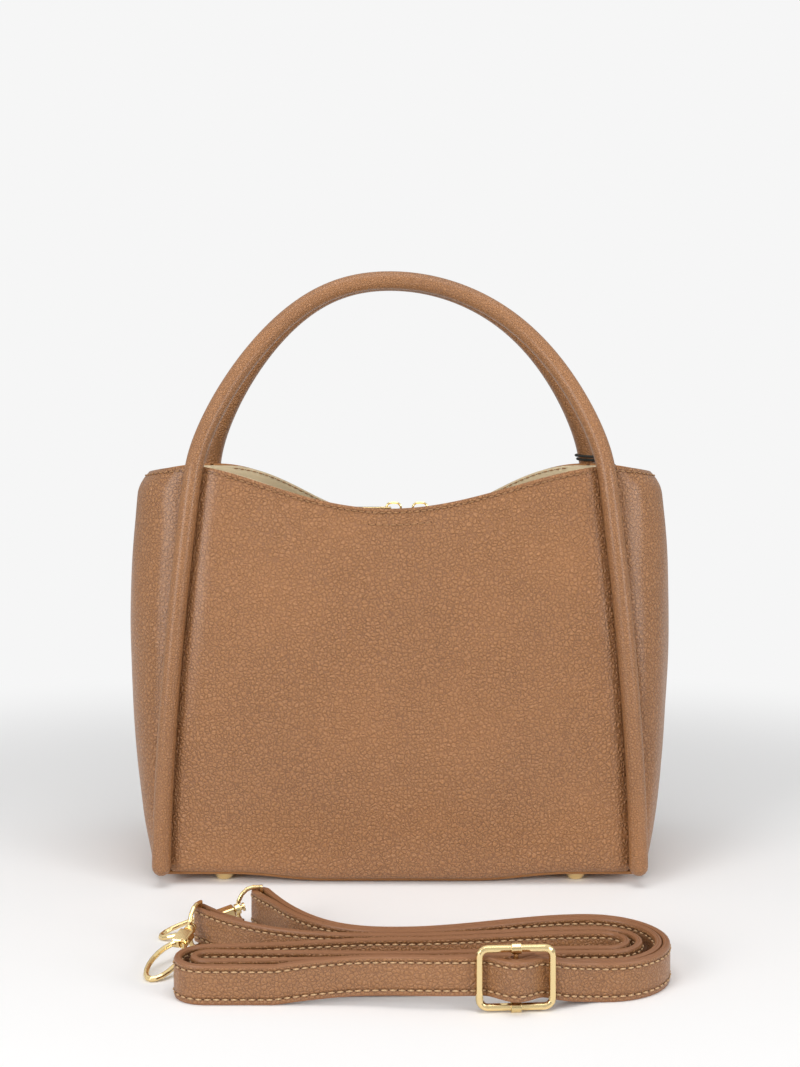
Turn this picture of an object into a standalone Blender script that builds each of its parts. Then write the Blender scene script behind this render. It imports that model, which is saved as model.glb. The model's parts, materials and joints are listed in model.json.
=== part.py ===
"""Leather tote bag with two rolled handles, and its shoulder strap folded on the floor in front.

Metres, +Z up. The bag's front faces -Y. Run it in Blender to get the model.
"""
import math

import bmesh
import bpy
from mathutils import Matrix, Vector

# Clearances and cuts
GAP = 0.0003
OVERRUN = 0.002
WELD = 0.00001

# Bag body, measured between the corner seams
BASE_WIDTH = 0.250
TOP_WIDTH = 0.221
BASE_DEPTH = 0.130
TOP_DEPTH = 0.080
CORNER_HEIGHT = 0.220
FRONT_DIP = 0.0225
BACK_DIP = 0.032
RIM_CURVE_SHARE = 0.78
SEAM_CURVE_SHARE = 1.7
LEAN_CURVE_SHARE = 1.3
LEATHER = 0.0018
PANEL_SET = 0.002
PANEL_BULGE = 0.003
FOLD_RADIUS = 0.006
BASE_SAG = 0.0037
SAG_RISE_SHARE = 0.55
FOLD_SETBACK = 0.0016
FOOT_HEIGHT = 0.006

# Gussets
GUSSET_TOP_BULGE = 0.034
GUSSET_BASE_BULGE = 0.008
GUSSET_DROP = 0.0035
GUSSET_SET = 0.0028
BULGE_CURVE_SHARE = 0.72
SECTION_SHARE = 0.83

# Rolled handles and the rolls that carry on down the corner seams
ROLL_RADIUS = 0.005
ROLL_WALL = 0.0013
CORE_RADIUS = 0.0032
HANDLE_RISE = 0.103
HANDLE_SIDE_SHARE = 2.1
HANDLE_RISE_SHARE = 1.5
HANDLE_LEAN_SHARE = 0.9
HANDLE_SKEW = -0.006
HANDLE_SKEW_SHARE = 6.0

# Base board, feet and washers
BOARD = 0.002
FOOT_RADIUS = 0.006
FOOT_FLAT_RADIUS = 0.002
FOOT_SPREAD_SHARE = 0.75
FOOT_INSET = 0.00341012
SHANK_RADIUS = 0.0015
WASHER_RADIUS = 0.006
WASHER = 0.0008

# Lining and middle compartment
LINING = 0.001
LINING_DROP = 0.0012
COMPARTMENT_DEPTH = 0.024
COMPARTMENT_WALL = 0.0012
ZIP_HEIGHT = 0.1925
ZIP_LENGTH = 0.180
TAPE = 0.0006
TOOTH_PITCH = 0.0036
TOOTH_WIDTH = 0.0011
TOOTH_LENGTH = 0.0022
TOOTH_HEIGHT = 0.0022
ZIP_SLIT = 0.0015
STOP_LENGTH = 0.003

# Zip sliders and pulls
SLIDER_LENGTH = 0.011
SLIDER_WIDTH = 0.0084
SLIDER_PLATE = 0.0008
SLIDER_POST = 0.0007
SLIDER_LEFT_X = -0.0036
SLIDER_RIGHT_X = 0.0113
BRIDGE_LENGTH = 0.0098
BRIDGE_RISE = 0.0050
BRIDGE_RADIUS = 0.0007
PULL_LENGTH = 0.022
PULL_WIDTH = 0.006
PULL_EYE_RADIUS = 0.0016
PULL_PLATE = 0.0012

# Magnetic snaps
SNAP_RADIUS = 0.007
SNAP_PLATE = 0.0014
SNAP_STUD_RADIUS = 0.0025
SNAP_STUD = 0.0012
SNAP_BELOW_RIM = 0.016
SNAP_BELOW_ZIP = 0.003

# Rings for the strap, on tabs inside the gussets
RING_WIDTH = 0.016
RING_REACH = 0.011
RING_RADIUS = 0.00125
TAB_WIDTH = 0.012
TAB_PLY = 0.0012
TAB_LENGTH = 0.018
TAB_BELOW_RIM = 0.006
RING_HANG_ANGLE = 102.0

# Swing tag on its elastic
ELASTIC_RADIUS = 0.00075
TAG_WIDTH = 0.022
TAG_HEIGHT = 0.034
TAG_PLATE = 0.0008
TAG_TOP = 0.070
TAG_START_ANGLE = 64.0
TAG_END_ANGLE = 38.0
TAG_SPAN_ANGLE = 8.0
COIL_STEPS = 10
LOOP_SLACK = 0.0045

# Shoulder strap, folded in six runs and standing on its edge
STRAP_WIDTH = 0.0168
STRAP_PLY = 0.0032
SKIVED_PLY = 0.0016
STRAP_STEP = 0.0105
TURN_STEP = 0.0065
SKIVED_LENGTH = 0.036
SKIVE_RUN = 0.012
SKIVE_LEAD_SHARE = 0.2
FOLD_SETTLE = 0.02
SLIDE_LIFT_LEFT = 0.092
SLIDE_LIFT_RIGHT = 0.07
SLIDE_OUT = 0.0065
SLIDE_OUT_LEFT = 0.075
END_LIFT_REACH = 0.06
BUNDLE_TO_BAG = 0.114
BUNDLE_DEPTH = 0.033
RIGHT_TURN_X = 0.0857
NEAR_TURN_X = 0.0895
LEFT_TURN_X = -0.082
OUTER_TURN_RADIUS = 0.031
MIDDLE_TURN_RADIUS = 0.0152
INNER_TURN_RADIUS = 0.0098
FAR_TURN_RADIUS = 0.0125
TIGHT_TURN_RADIUS = 0.0055
OUTER_TURN_SETBACK = 0.0133
NEAR_TURN_SETBACK = 0.015
LEFT_TURN_SETBACK = 0.035
FIRST_END_X = -0.094
FIRST_END_OUT = 0.022
SECOND_END_X = -0.064
SECOND_END_OUT = 0.049
END_CURVE_SHARE = 2.8
SEWN_RETURN = 0.028

# Slide buckle
SLIDE_WIDTH = 0.0335
SLIDE_HEIGHT = 0.0275
SLIDE_WIRE_RADIUS = 0.0016
SLIDE_CORNER = 0.005
SLIDE_BAR_RADIUS = 0.001
COLLAR_RADIUS = 0.0023
COLLAR_WIDTH = 0.0042
SLIDE_X = 0.0476

# Snap hooks
HOOK_LOOP_REACH = 0.0115
HOOK_WIRE_RADIUS = 0.0011
HOOK_COLLAR = 0.0026
HOOK_NECK_RADIUS = 0.0012
HOOK_HEAD_LENGTH = 0.0095
HOOK_HEAD_WIDTH = 0.007
HOOK_HEAD_THICKNESS = 0.0044
HOOK_OVAL_LENGTH = 0.0305
HOOK_OVAL_WIDTH = 0.0150
HOOK_BAND_RADIUS = 0.00125
HOOK_1_HEADING = 251.0
HOOK_2_HEADING = 197.5

# Meshes are shaded smooth but for edges sharper than this, in degrees
SHARP_ANGLE = 35.0

# What hangs freely and isn't measured when the set is centred
FREE_TAG = ("tag_elastic", "swing_tag")

# Shapes of the details, as shares of the sizes above
FOLD_ROWS_SHARE = 0.25
TOOTH_ROOT_SHARE = 0.6
TIP_SHARES = (0.1, 0.3, 0.6, 1.0)
RUN_SHARES = (0.0, 0.25, 0.42, 0.95, 1.13, 1.45)
OVAL_START_SHARE = 0.92
GATE_START_SHARE = 0.9
GATE_END_SHARE = 0.52
GATE_GAP_SHARE = 0.03


def clear_scene():
    """Take away whatever the scene holds."""
    for item in list(bpy.data.objects):
        bpy.data.objects.remove(item, do_unlink=True)


def new_collection(name):
    """Make a collection and link it to the scene."""
    collection = bpy.data.collections.new(name)
    bpy.context.scene.collection.children.link(collection)
    return collection


def material(name, colour, roughness, metallic=0.0):
    """A plain Principled material, made once for each name."""
    if name in bpy.data.materials:
        return bpy.data.materials[name]
    made = bpy.data.materials.new(name)
    made.use_nodes = True
    shader = made.node_tree.nodes["Principled BSDF"]
    shader.inputs["Base Color"].default_value = (*colour, 1.0)
    shader.inputs["Roughness"].default_value = roughness
    shader.inputs["Metallic"].default_value = metallic
    made.diffuse_color = (*colour, 1.0)
    return made


def tan_leather(name):
    return material(name, (0.38, 0.17, 0.075), 0.5)


def lining_cloth(name):
    return material(name, (0.68, 0.55, 0.35), 0.9)


def gold(name):
    return material(name, (0.80, 0.62, 0.32), 0.2, 1.0)


def black(name):
    return material(name, (0.02, 0.018, 0.016), 0.4)


def add_object(name, data, finish, smooth=True):
    """Put mesh or curve data in the bag's collection under its own name and material."""
    item = bpy.data.objects.new(name, data)
    if finish is None:
        item.hide_render = True
        item.display_type = "WIRE"
        cutters.objects.link(item)
        return item
    parts.objects.link(item)
    data.materials.append(finish(name))
    if smooth and isinstance(data, bpy.types.Mesh):
        data.shade_smooth()
        data.set_sharp_from_angle(angle=math.radians(SHARP_ANGLE))
    return item


def mesh_from(name, shape):
    """Turn a bmesh into a mesh and free it."""
    mesh = bpy.data.meshes.new(name)
    shape.to_mesh(mesh)
    shape.free()
    return mesh


def place(item, frame):
    """Set an object at a frame of its own."""
    item.matrix_world = frame
    return item


def sheet(name, columns, rows, point, thickness, finish, offset=-1.0):
    """A grid whose points follow a rule, from -1 to 1 across and 0 to 1 up, given its thickness."""
    shape = bmesh.new()
    bmesh.ops.create_grid(shape, x_segments=columns, y_segments=rows, size=1.0)
    for vertex in shape.verts:
        vertex.co = point(vertex.co.x, (vertex.co.y + 1.0) / 2.0)
    item = add_object(name, mesh_from(name, shape), finish)
    solid = item.modifiers.new("Thickness", "SOLIDIFY")
    solid.thickness = thickness
    solid.offset = offset
    solid.use_even_offset = True
    return item


def block(name, size, centre, finish, bevel=0.0, frame=None):
    """A box of a size about a centre, its edges rounded if asked."""
    shape = bmesh.new()
    bmesh.ops.create_cube(shape, size=1.0)
    bmesh.ops.scale(shape, vec=Vector(size), verts=shape.verts)
    bmesh.ops.translate(shape, vec=Vector(centre), verts=shape.verts)
    if bevel:
        bmesh.ops.bevel(shape, geom=list(shape.edges), offset=bevel, segments=1, affect="EDGES",
                        profile=0.5, material=-1)
    item = add_object(name, mesh_from(name, shape), finish, smooth=False)
    return place(item, frame or Matrix.Identity(4))


def rod(name, radius, start, end, finish, sides=12, frame=None):
    """A round rod between two points, closed at both ends."""
    along = Vector(end) - Vector(start)
    turn = along.to_track_quat("Z", "Y").to_matrix().to_4x4()
    shape = bmesh.new()
    bmesh.ops.create_cone(shape, cap_ends=True, segments=sides, radius1=radius, radius2=radius,
                          depth=along.length)
    bmesh.ops.transform(shape, matrix=Matrix.Translation((Vector(start) + Vector(end)) / 2.0) @ turn,
                        verts=shape.verts)
    item = add_object(name, mesh_from(name, shape), finish)
    return place(item, frame or Matrix.Identity(4))


def turned(name, profile, steps, finish, centre):
    """A solid of revolution about +Z from a profile of (radius, height), top to bottom."""
    mesh = bpy.data.meshes.new(name)
    mesh.from_pydata([(radius, 0.0, height) for radius, height in profile],
                     [(i, i + 1) for i in range(len(profile) - 1)], [])
    item = add_object(name, mesh, finish, smooth=False)
    item.location = centre
    screw = item.modifiers.new("Turn", "SCREW")
    screw.steps = steps
    screw.render_steps = steps
    screw.use_merge_vertices = True
    screw.merge_threshold = WELD
    screw.use_smooth_shade = True
    return item


def wire(name, points, radius, finish, resolution=2, cyclic=False, shares=None, caps=True, frame=None):
    """A round wire along points, as a curve."""
    data = bpy.data.curves.new(name, "CURVE")
    data.dimensions = "3D"
    data.bevel_depth = radius
    data.bevel_resolution = resolution
    data.use_fill_caps = caps and not cyclic
    line = data.splines.new("POLY")
    line.points.add(len(points) - 1)
    line.use_cyclic_u = cyclic
    line.use_smooth = True
    for index, point in enumerate(points):
        line.points[index].co = (*point, 1.0)
        line.points[index].radius = shares[index] if shares else 1.0
    item = add_object(name, data, finish)
    return place(item, frame or Matrix.Identity(4))


def plate(name, outline, thickness, finish, frame=None):
    """A flat plate from an outline in its own XY plane, half its thickness to each side."""
    data = bpy.data.curves.new(name, "CURVE")
    data.dimensions = "2D"
    data.fill_mode = "BOTH"
    data.extrude = thickness / 2.0
    line = data.splines.new("POLY")
    line.points.add(len(outline) - 1)
    line.use_cyclic_u = True
    for index, point in enumerate(outline):
        line.points[index].co = (*point, 0.0, 1.0)
    item = add_object(name, data, finish)
    return place(item, frame or Matrix.Identity(4))


def as_mesh(item):
    """Swap a curve for its mesh, with its caps welded, in the same place."""
    bpy.context.view_layer.update()
    graph = bpy.context.evaluated_depsgraph_get()
    mesh = bpy.data.meshes.new_from_object(item.evaluated_get(graph), depsgraph=graph)
    shape = bmesh.new()
    shape.from_mesh(mesh)
    bmesh.ops.remove_doubles(shape, verts=shape.verts, dist=WELD)
    shape.to_mesh(mesh)
    shape.free()
    name = item.name
    home = item.users_collection[0]
    world = item.matrix_world.copy()
    parent = item.parent
    bpy.data.objects.remove(item, do_unlink=True)
    made = bpy.data.objects.new(name, mesh)
    home.objects.link(made)
    made.parent = parent
    made.matrix_world = world
    if home is cutters:
        made.hide_render = True
        made.display_type = "WIRE"
    else:
        mesh.shade_smooth()
        mesh.set_sharp_from_angle(angle=math.radians(SHARP_ANGLE))
    return made


def join_or_cut(item, other, operation):
    """A live Boolean between two closed meshes."""
    change = item.modifiers.new(operation.title(), "BOOLEAN")
    change.operation = operation
    change.solver = "EXACT"
    change.object = other
    return item


def cut(item, cutter):
    return join_or_cut(item, cutter, "DIFFERENCE")


def join(item, other):
    return join_or_cut(item, other, "UNION")


def ease(share):
    """Rise smoothly from 0 to 1."""
    held = min(max(share, 0.0), 1.0)
    return held * held * (3.0 - 2.0 * held)


def power(value, share):
    """A power that keeps the value's sign."""
    return math.copysign(abs(value) ** share, value)


# The bag's walls, as rules that every piece of the body shares


def height_share(height):
    return min(max((height - FOOT_HEIGHT) / (CORNER_HEIGHT - FOOT_HEIGHT), 0.0), 1.0)


def seam_x(height):
    """Half the width between the corner rolls at a height."""
    lean = (BASE_WIDTH - TOP_WIDTH) / 2.0
    return BASE_WIDTH / 2.0 - lean * height_share(height) ** SEAM_CURVE_SHARE


def seam_y(height):
    """Half the depth between the corner rolls at a height."""
    lean = (BASE_DEPTH - TOP_DEPTH) / 2.0
    return BASE_DEPTH / 2.0 - lean * height_share(height) ** LEAN_CURVE_SHARE


def bulge(height):
    """How far the gusset stands out past the seams at a height."""
    rise = math.sin(height_share(height) * math.pi / 2.0) ** BULGE_CURVE_SHARE
    return GUSSET_BASE_BULGE + (GUSSET_TOP_BULGE - GUSSET_BASE_BULGE) * rise


def panel_rim(x, dip):
    """Height of a panel's top edge, which dips between the corners."""
    share = min(abs(x) / (TOP_WIDTH / 2.0), 1.0)
    return CORNER_HEIGHT - dip * ((1.0 + math.cos(math.pi * share)) / 2.0) ** RIM_CURVE_SHARE


def gusset_rim(angle):
    return CORNER_HEIGHT - GUSSET_SET - GUSSET_DROP * math.cos(angle) ** 2


def roll_room(offset):
    """How far a wall's edge keeps from a seam, to clear the roll, at an offset behind the seam."""
    reach = ROLL_RADIUS + GAP
    return math.sqrt(max(reach * reach - offset * offset, 0.0)) + GAP


def sag(x):
    """How far the soft base hangs between the feet at a place across the bag."""
    reach = BASE_WIDTH / 2.0 * FOOT_SPREAD_SHARE - FOOT_RADIUS
    return BASE_SAG * ease((1.0 - abs(x) / reach) / SAG_RISE_SHARE)


def panel_point(across, up, dip):
    """A point of the front panel's outer face, with the panel folded under at its foot."""
    fold_top = FOOT_HEIGHT + FOLD_RADIUS
    if up < FOLD_ROWS_SHARE:
        angle = up / FOLD_ROWS_SHARE * math.pi / 2.0
        face = seam_y(fold_top) - PANEL_SET
        depth = face - FOLD_RADIUS + FOLD_RADIUS * math.sin(angle)
        side = seam_x(fold_top) - roll_room(seam_y(fold_top) - depth)
        height = fold_top - (FOLD_RADIUS + sag(across * side)) * math.cos(angle)
        return Vector((across * side, -depth, height))
    share = (up - FOLD_ROWS_SHARE) / (1.0 - FOLD_ROWS_SHARE)
    x = across * TOP_WIDTH / 2.0
    height = fold_top + share * (panel_rim(x, dip) - fold_top)
    side = seam_x(height) - roll_room(PANEL_SET)
    crown = PANEL_BULGE * (1.0 - across * across) * math.sin(math.pi * height_share(height))
    return Vector((across * side, -(seam_y(height) - PANEL_SET + crown), height))


def gusset_point(angle, height, shrink=0.0, inset=0.0):
    """A point of the right gusset's outer face, at an angle from its middle, -90 to 90 degrees."""
    reach = bulge(height) - shrink - inset
    half = seam_y(height) - ROLL_RADIUS - GAP - shrink - inset
    x = seam_x(height) + GAP + reach * abs(math.cos(angle)) ** SECTION_SHARE
    return Vector((x, half * power(math.sin(angle), SECTION_SHARE), height))


def gusset_sheet_point(across, up):
    """The right gusset's outer face as a sheet, folded under at its foot."""
    fold_top = FOOT_HEIGHT + FOLD_RADIUS
    side = across * math.pi / 2.0
    if up < FOLD_ROWS_SHARE:
        turn = up / FOLD_ROWS_SHARE * math.pi / 2.0
        point = gusset_point(side, fold_top, FOLD_RADIUS * (1.0 - math.sin(turn)))
        point.z = fold_top - FOLD_RADIUS * math.cos(turn)
        return point
    share = (up - FOLD_ROWS_SHARE) / (1.0 - FOLD_ROWS_SHARE)
    return gusset_point(side, fold_top + share * (gusset_rim(side) - fold_top))


def mirrored(point, flip_x, flip_y):
    return Vector((-point.x if flip_x else point.x, -point.y if flip_y else point.y, point.z))


def make_walls():
    """Front and back panels and the two gussets."""
    sheet("front_panel", 12, 12, lambda u, v: panel_point(u, v, FRONT_DIP), LEATHER, tan_leather)
    sheet("back_panel", 12, 12,
          lambda u, v: mirrored(panel_point(-u, v, BACK_DIP), False, True), LEATHER, tan_leather)
    sheet("right_gusset", 12, 12, gusset_sheet_point, LEATHER, tan_leather)
    sheet("left_gusset", 12, 12,
          lambda u, v: mirrored(gusset_sheet_point(-u, v), True, False), LEATHER, tan_leather)


def base_half_depth():
    fold_top = FOOT_HEIGHT + FOLD_RADIUS
    return seam_y(fold_top) - PANEL_SET - FOLD_RADIUS - FOLD_SETBACK


def board_half_depth():
    return base_half_depth() - FOLD_RADIUS / 2.0


def base_half_width(depth):
    """Half the base's width at a depth, following the gusset's folded edge."""
    fold_top = FOOT_HEIGHT + FOLD_RADIUS
    half = seam_y(fold_top) - ROLL_RADIUS - GAP - FOLD_RADIUS
    share = min(abs(depth) / half, 1.0)
    angle = math.asin(share ** (1.0 / SECTION_SHARE))
    reach = max(bulge(fold_top) - FOLD_RADIUS - LEATHER, 0.0)
    return seam_x(fold_top) - FOLD_SETBACK + reach * math.cos(angle) ** SECTION_SHARE


def foot_places():
    x = BASE_WIDTH / 2.0 * FOOT_SPREAD_SHARE
    y = board_half_depth() - FOOT_INSET
    return {"front_left": (-x, -y), "front_right": (x, -y), "back_left": (-x, y), "back_right": (x, y)}


def make_base():
    """The leather base, its board, and the feet riveted through both."""
    deep = base_half_depth()

    def base_point(across, up):
        depth = (2.0 * up - 1.0) * deep
        width = across * base_half_width(depth)
        edge = abs(2.0 * up - 1.0) ** 4
        return Vector((width, -depth, FOOT_HEIGHT - edge * sag(width)))

    base = sheet("base_panel", 14, 6, base_point, LEATHER, tan_leather)
    board_low = FOOT_HEIGHT + LEATHER + GAP
    board_size = (2.0 * (seam_x(FOOT_HEIGHT) - FOLD_RADIUS), 2.0 * board_half_depth(), BOARD)
    board = block("base_board", board_size, (0.0, 0.0, board_low + BOARD / 2.0), black)
    washer_low = board_low + BOARD + GAP
    shank_top = washer_low + WASHER + GAP
    hole = SHANK_RADIUS + GAP
    for place_name, (x, y) in foot_places().items():
        low = (x, y, FOOT_HEIGHT - BASE_SAG - OVERRUN)
        high = (x, y, washer_low + OVERRUN)
        cutter = rod("hole_" + place_name, hole, low, high, None)
        cut(base, cutter)
        cut(board, cutter)
        seat = FOOT_HEIGHT - GAP
        profile = [(0.0, shank_top), (SHANK_RADIUS, shank_top), (SHANK_RADIUS, seat)]
        rounds = 5
        for step in range(rounds + 1):
            angle = step / rounds * math.pi / 2.0
            radius = FOOT_FLAT_RADIUS + (FOOT_RADIUS - FOOT_FLAT_RADIUS) * math.cos(angle)
            profile.append((radius, seat * (1.0 - math.sin(angle))))
        profile.append((0.0, 0.0))
        turned("foot_" + place_name, profile, 14, gold, (x, y, 0.0))
        ring = [(hole, washer_low + WASHER), (WASHER_RADIUS, washer_low + WASHER),
                (WASHER_RADIUS, washer_low), (hole, washer_low), (hole, washer_low + WASHER)]
        turned("washer_" + place_name, ring, 12, gold, (x, y, 0.0))
    return shank_top


def rolled_tube(name, points, round_start, round_end):
    """A hollow leather tube along points, its named ends rounded, with a filler cord inside it."""
    tip_shares = [math.sqrt(1.0 - (1.0 - share) ** 2) for share in TIP_SHARES]
    path = list(points)
    shares = [1.0] * len(path)
    if round_start:
        along = (path[1] - path[0]).normalized()
        tips = [path[0] - along * ROLL_RADIUS * (1.0 - share) for share in TIP_SHARES]
        path = tips + path[1:]
        shares = tip_shares + shares[1:]
    if round_end:
        along = (path[-1] - path[-2]).normalized()
        tips = [path[-1] + along * ROLL_RADIUS * (1.0 - share) for share in reversed(TIP_SHARES)]
        path = path[:-1] + tips
        shares = shares[:-1] + tip_shares[::-1]
    leather = as_mesh(wire(name, path, ROLL_RADIUS, tan_leather, 3, shares=shares, caps=False))
    wall = leather.modifiers.new("Wall", "SOLIDIFY")
    wall.thickness = ROLL_WALL
    wall.offset = -1.0
    wall.use_even_offset = True
    core = as_mesh(wire(name + "_cord", points, CORE_RADIUS, lining_cloth, 1))
    return leather, core


def arch_points():
    """The front handle's centre line, in its own leaning plane, from the left corner to the right."""
    lean = TOP_DEPTH / 2.0 - ROLL_RADIUS - GAP / 2.0
    steps = 24
    points = []
    for step in range(steps + 1):
        angle = math.pi - math.pi * step / steps
        rise = power(math.sin(angle), 2.0 / HANDLE_RISE_SHARE) if 0 < step < steps else 0.0
        x = TOP_WIDTH / 2.0 * power(math.cos(angle), 2.0 / HANDLE_SIDE_SHARE)
        skew = HANDLE_SKEW * rise ** HANDLE_SKEW_SHARE
        points.append(Vector((x + skew, lean * rise ** HANDLE_LEAN_SHARE, HANDLE_RISE * rise)))
    return points


def make_handles():
    """Two arches that hinge at the bag's corners, and the four rolls that run on from them."""
    for side, flip in (("front", False), ("back", True)):
        hinge = Vector((0.0, TOP_DEPTH / 2.0 * (1 if flip else -1), CORNER_HEIGHT))
        points = [mirrored(point, False, flip) for point in arch_points()]
        for item in rolled_tube(side + "_handle", points, True, True):
            item.location = hinge
    steps = 7
    low = FOOT_HEIGHT + ROLL_RADIUS
    high = CORNER_HEIGHT - ROLL_RADIUS - GAP
    for side, flip_x, flip_y in (("front_left", True, False), ("front_right", False, False),
                                 ("back_left", True, True), ("back_right", False, True)):
        points = []
        for step in range(steps + 1):
            height = low + (high - low) * step / steps
            point = Vector((seam_x(height), -seam_y(height), height))
            points.append(mirrored(point, flip_x, flip_y))
        rolled_tube(side + "_roll", points, True, False)


def lining_outline(floor, share):
    """One closed ring of the lining's outer face, at a share of its height."""
    fold_top = FOOT_HEIGHT + FOLD_RADIUS
    inner = FOLD_RADIUS - LEATHER - GAP
    ring = []

    def shrink(height):
        under = min(max(fold_top - height, 0.0), inner)
        return inner - math.sqrt(inner * inner - under * under) + 3.0 * GAP * under / inner

    panel_steps = 8
    gusset_steps = 9
    for side in range(4):
        if side in (0, 2):
            dip = FRONT_DIP if side == 0 else BACK_DIP
            for step in range(panel_steps + 1):
                across = 2.0 * step / panel_steps - 1.0
                rim = panel_rim(across * TOP_WIDTH / 2.0, dip) - LINING_DROP
                height = floor + share * (rim - floor)
                crown = PANEL_BULGE * (1.0 - across * across) * math.sin(math.pi * height_share(height))
                depth = seam_y(height) - PANEL_SET - LEATHER - GAP + crown - shrink(height)
                x = across * (seam_x(height) - ROLL_RADIUS - LEATHER - shrink(height))
                ring.append(mirrored(Vector((x, -depth, height)), side == 2, side == 2))
        else:
            clear = LEATHER + 2.0 * GAP
            for step in range(gusset_steps + 1):
                angle = (2.0 * step / gusset_steps - 1.0) * math.pi / 2.0
                rim = gusset_rim(angle) - LINING_DROP
                height = floor + share * (rim - floor)
                point = gusset_point(angle, height, shrink(height), clear)
                point.x -= LINING
                ring.append(mirrored(point, side == 3, side == 3))
    return ring


def make_lining(floor):
    """The lining, one open bag that follows the walls inside."""
    levels = 7
    rings = [lining_outline(floor, level / levels) for level in range(levels + 1)]
    shape = bmesh.new()
    first = bmesh.ops.create_circle(shape, cap_ends=True, segments=len(rings[0]), radius=1.0)["verts"]
    loop = list(first)
    for vertex, point in zip(loop, rings[0]):
        vertex.co = point
    edges = [shape.edges.get((loop[i - 1], loop[i])) for i in range(len(loop))]
    for ring in rings[1:]:
        made = bmesh.ops.extrude_edge_only(shape, edges=edges)["geom"]
        edges = [item for item in made if isinstance(item, bmesh.types.BMEdge)]
        above = {}
        for vertex in loop:
            above[vertex] = next(edge.other_vert(vertex) for edge in vertex.link_edges
                                 if edge.other_vert(vertex) in set(v for e in edges for v in e.verts))
        loop = [above[vertex] for vertex in loop]
        for vertex, point in zip(loop, ring):
            vertex.co = point
    bmesh.ops.recalc_face_normals(shape, faces=shape.faces)
    floor_face = max(shape.faces, key=lambda face: len(face.verts))
    if floor_face.normal.z > 0.0:
        bmesh.ops.reverse_faces(shape, faces=shape.faces)
    item = add_object("lining", mesh_from("lining", shape), lining_cloth)
    solid = item.modifiers.new("Thickness", "SOLIDIFY")
    solid.thickness = LINING
    solid.offset = -1.0
    return item


def lining_inner_x(height, depth):
    """Half the width inside the lining at a height and a depth from the middle."""
    half = seam_y(height) - ROLL_RADIUS - GAP - LEATHER - 2.0 * GAP
    angle = math.asin(min(abs(depth) / half, 1.0) ** (1.0 / SECTION_SHARE))
    inset = LEATHER + 2.0 * GAP
    return gusset_point(angle, height, 0.0, inset).x - 2.0 * LINING - 2.0 * GAP


def lining_inner_y(height):
    """How far the lining's inner face is in front of the middle, at the top of its dip."""
    crown = PANEL_BULGE * math.sin(math.pi * height_share(height))
    return seam_y(height) - PANEL_SET - LEATHER - GAP + crown - LINING


def make_compartment(floor):
    """The middle compartment's two walls, its zip's tapes, teeth and end stops."""
    low = floor + LINING + GAP
    top = ZIP_HEIGHT - TAPE / 2.0 - GAP
    face = COMPARTMENT_DEPTH / 2.0
    foot_width = lining_inner_x(FOOT_HEIGHT + FOLD_RADIUS, face) - FOLD_RADIUS / 2.0
    for side, sign in (("front", -1.0), ("back", 1.0)):

        def wall_point(across, up, sign=sign):
            height = low + up * (top - low)
            width = min(lining_inner_x(height, face), foot_width + height - low)
            return Vector((-sign * across * width, sign * face, height))

        sheet("compartment_" + side + "_wall", 1, 8, wall_point, COMPARTMENT_WALL, lining_cloth)
        tape_width = face - ZIP_SLIT / 2.0 - TOOTH_LENGTH
        middle = sign * (face - tape_width / 2.0)
        block("zip_tape_" + side, (ZIP_LENGTH, tape_width, TAPE), (0.0, middle, ZIP_HEIGHT), lining_cloth)
        count = int((ZIP_LENGTH - 2.0 * STOP_LENGTH - 2.0 * GAP) / TOOTH_PITCH)
        root = ZIP_SLIT / 2.0 + TOOTH_LENGTH - GAP
        comb = [(count / 2.0 * TOOTH_PITCH, root), (-count / 2.0 * TOOTH_PITCH, root)]
        for index in range(count):
            x = (index - (count - 1) / 2.0) * TOOTH_PITCH
            for edge, reach in ((-1.0, TOOTH_LENGTH), (-1.0, 0.0), (1.0, 0.0), (1.0, TOOTH_LENGTH)):
                comb.append((x + edge * TOOTH_WIDTH / 2.0, ZIP_SLIT / 2.0 + reach * TOOTH_ROOT_SHARE))
        comb.insert(2, (-count / 2.0 * TOOTH_PITCH, comb[2][1]))
        comb.append((count / 2.0 * TOOTH_PITCH, comb[3][1]))
        plate("zip_teeth_" + side, [(x, sign * y) for x, y in comb], TOOTH_HEIGHT, gold,
              Matrix.Translation((0.0, 0.0, ZIP_HEIGHT)))
    for side, sign in (("left", -1.0), ("right", 1.0)):
        x = sign * (ZIP_LENGTH / 2.0 - STOP_LENGTH / 2.0)
        size = (STOP_LENGTH, ZIP_SLIT + 2.0 * (TOOTH_LENGTH - GAP), TOOTH_HEIGHT)
        block("zip_stop_" + side, size, (x, 0.0, ZIP_HEIGHT), gold)


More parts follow.
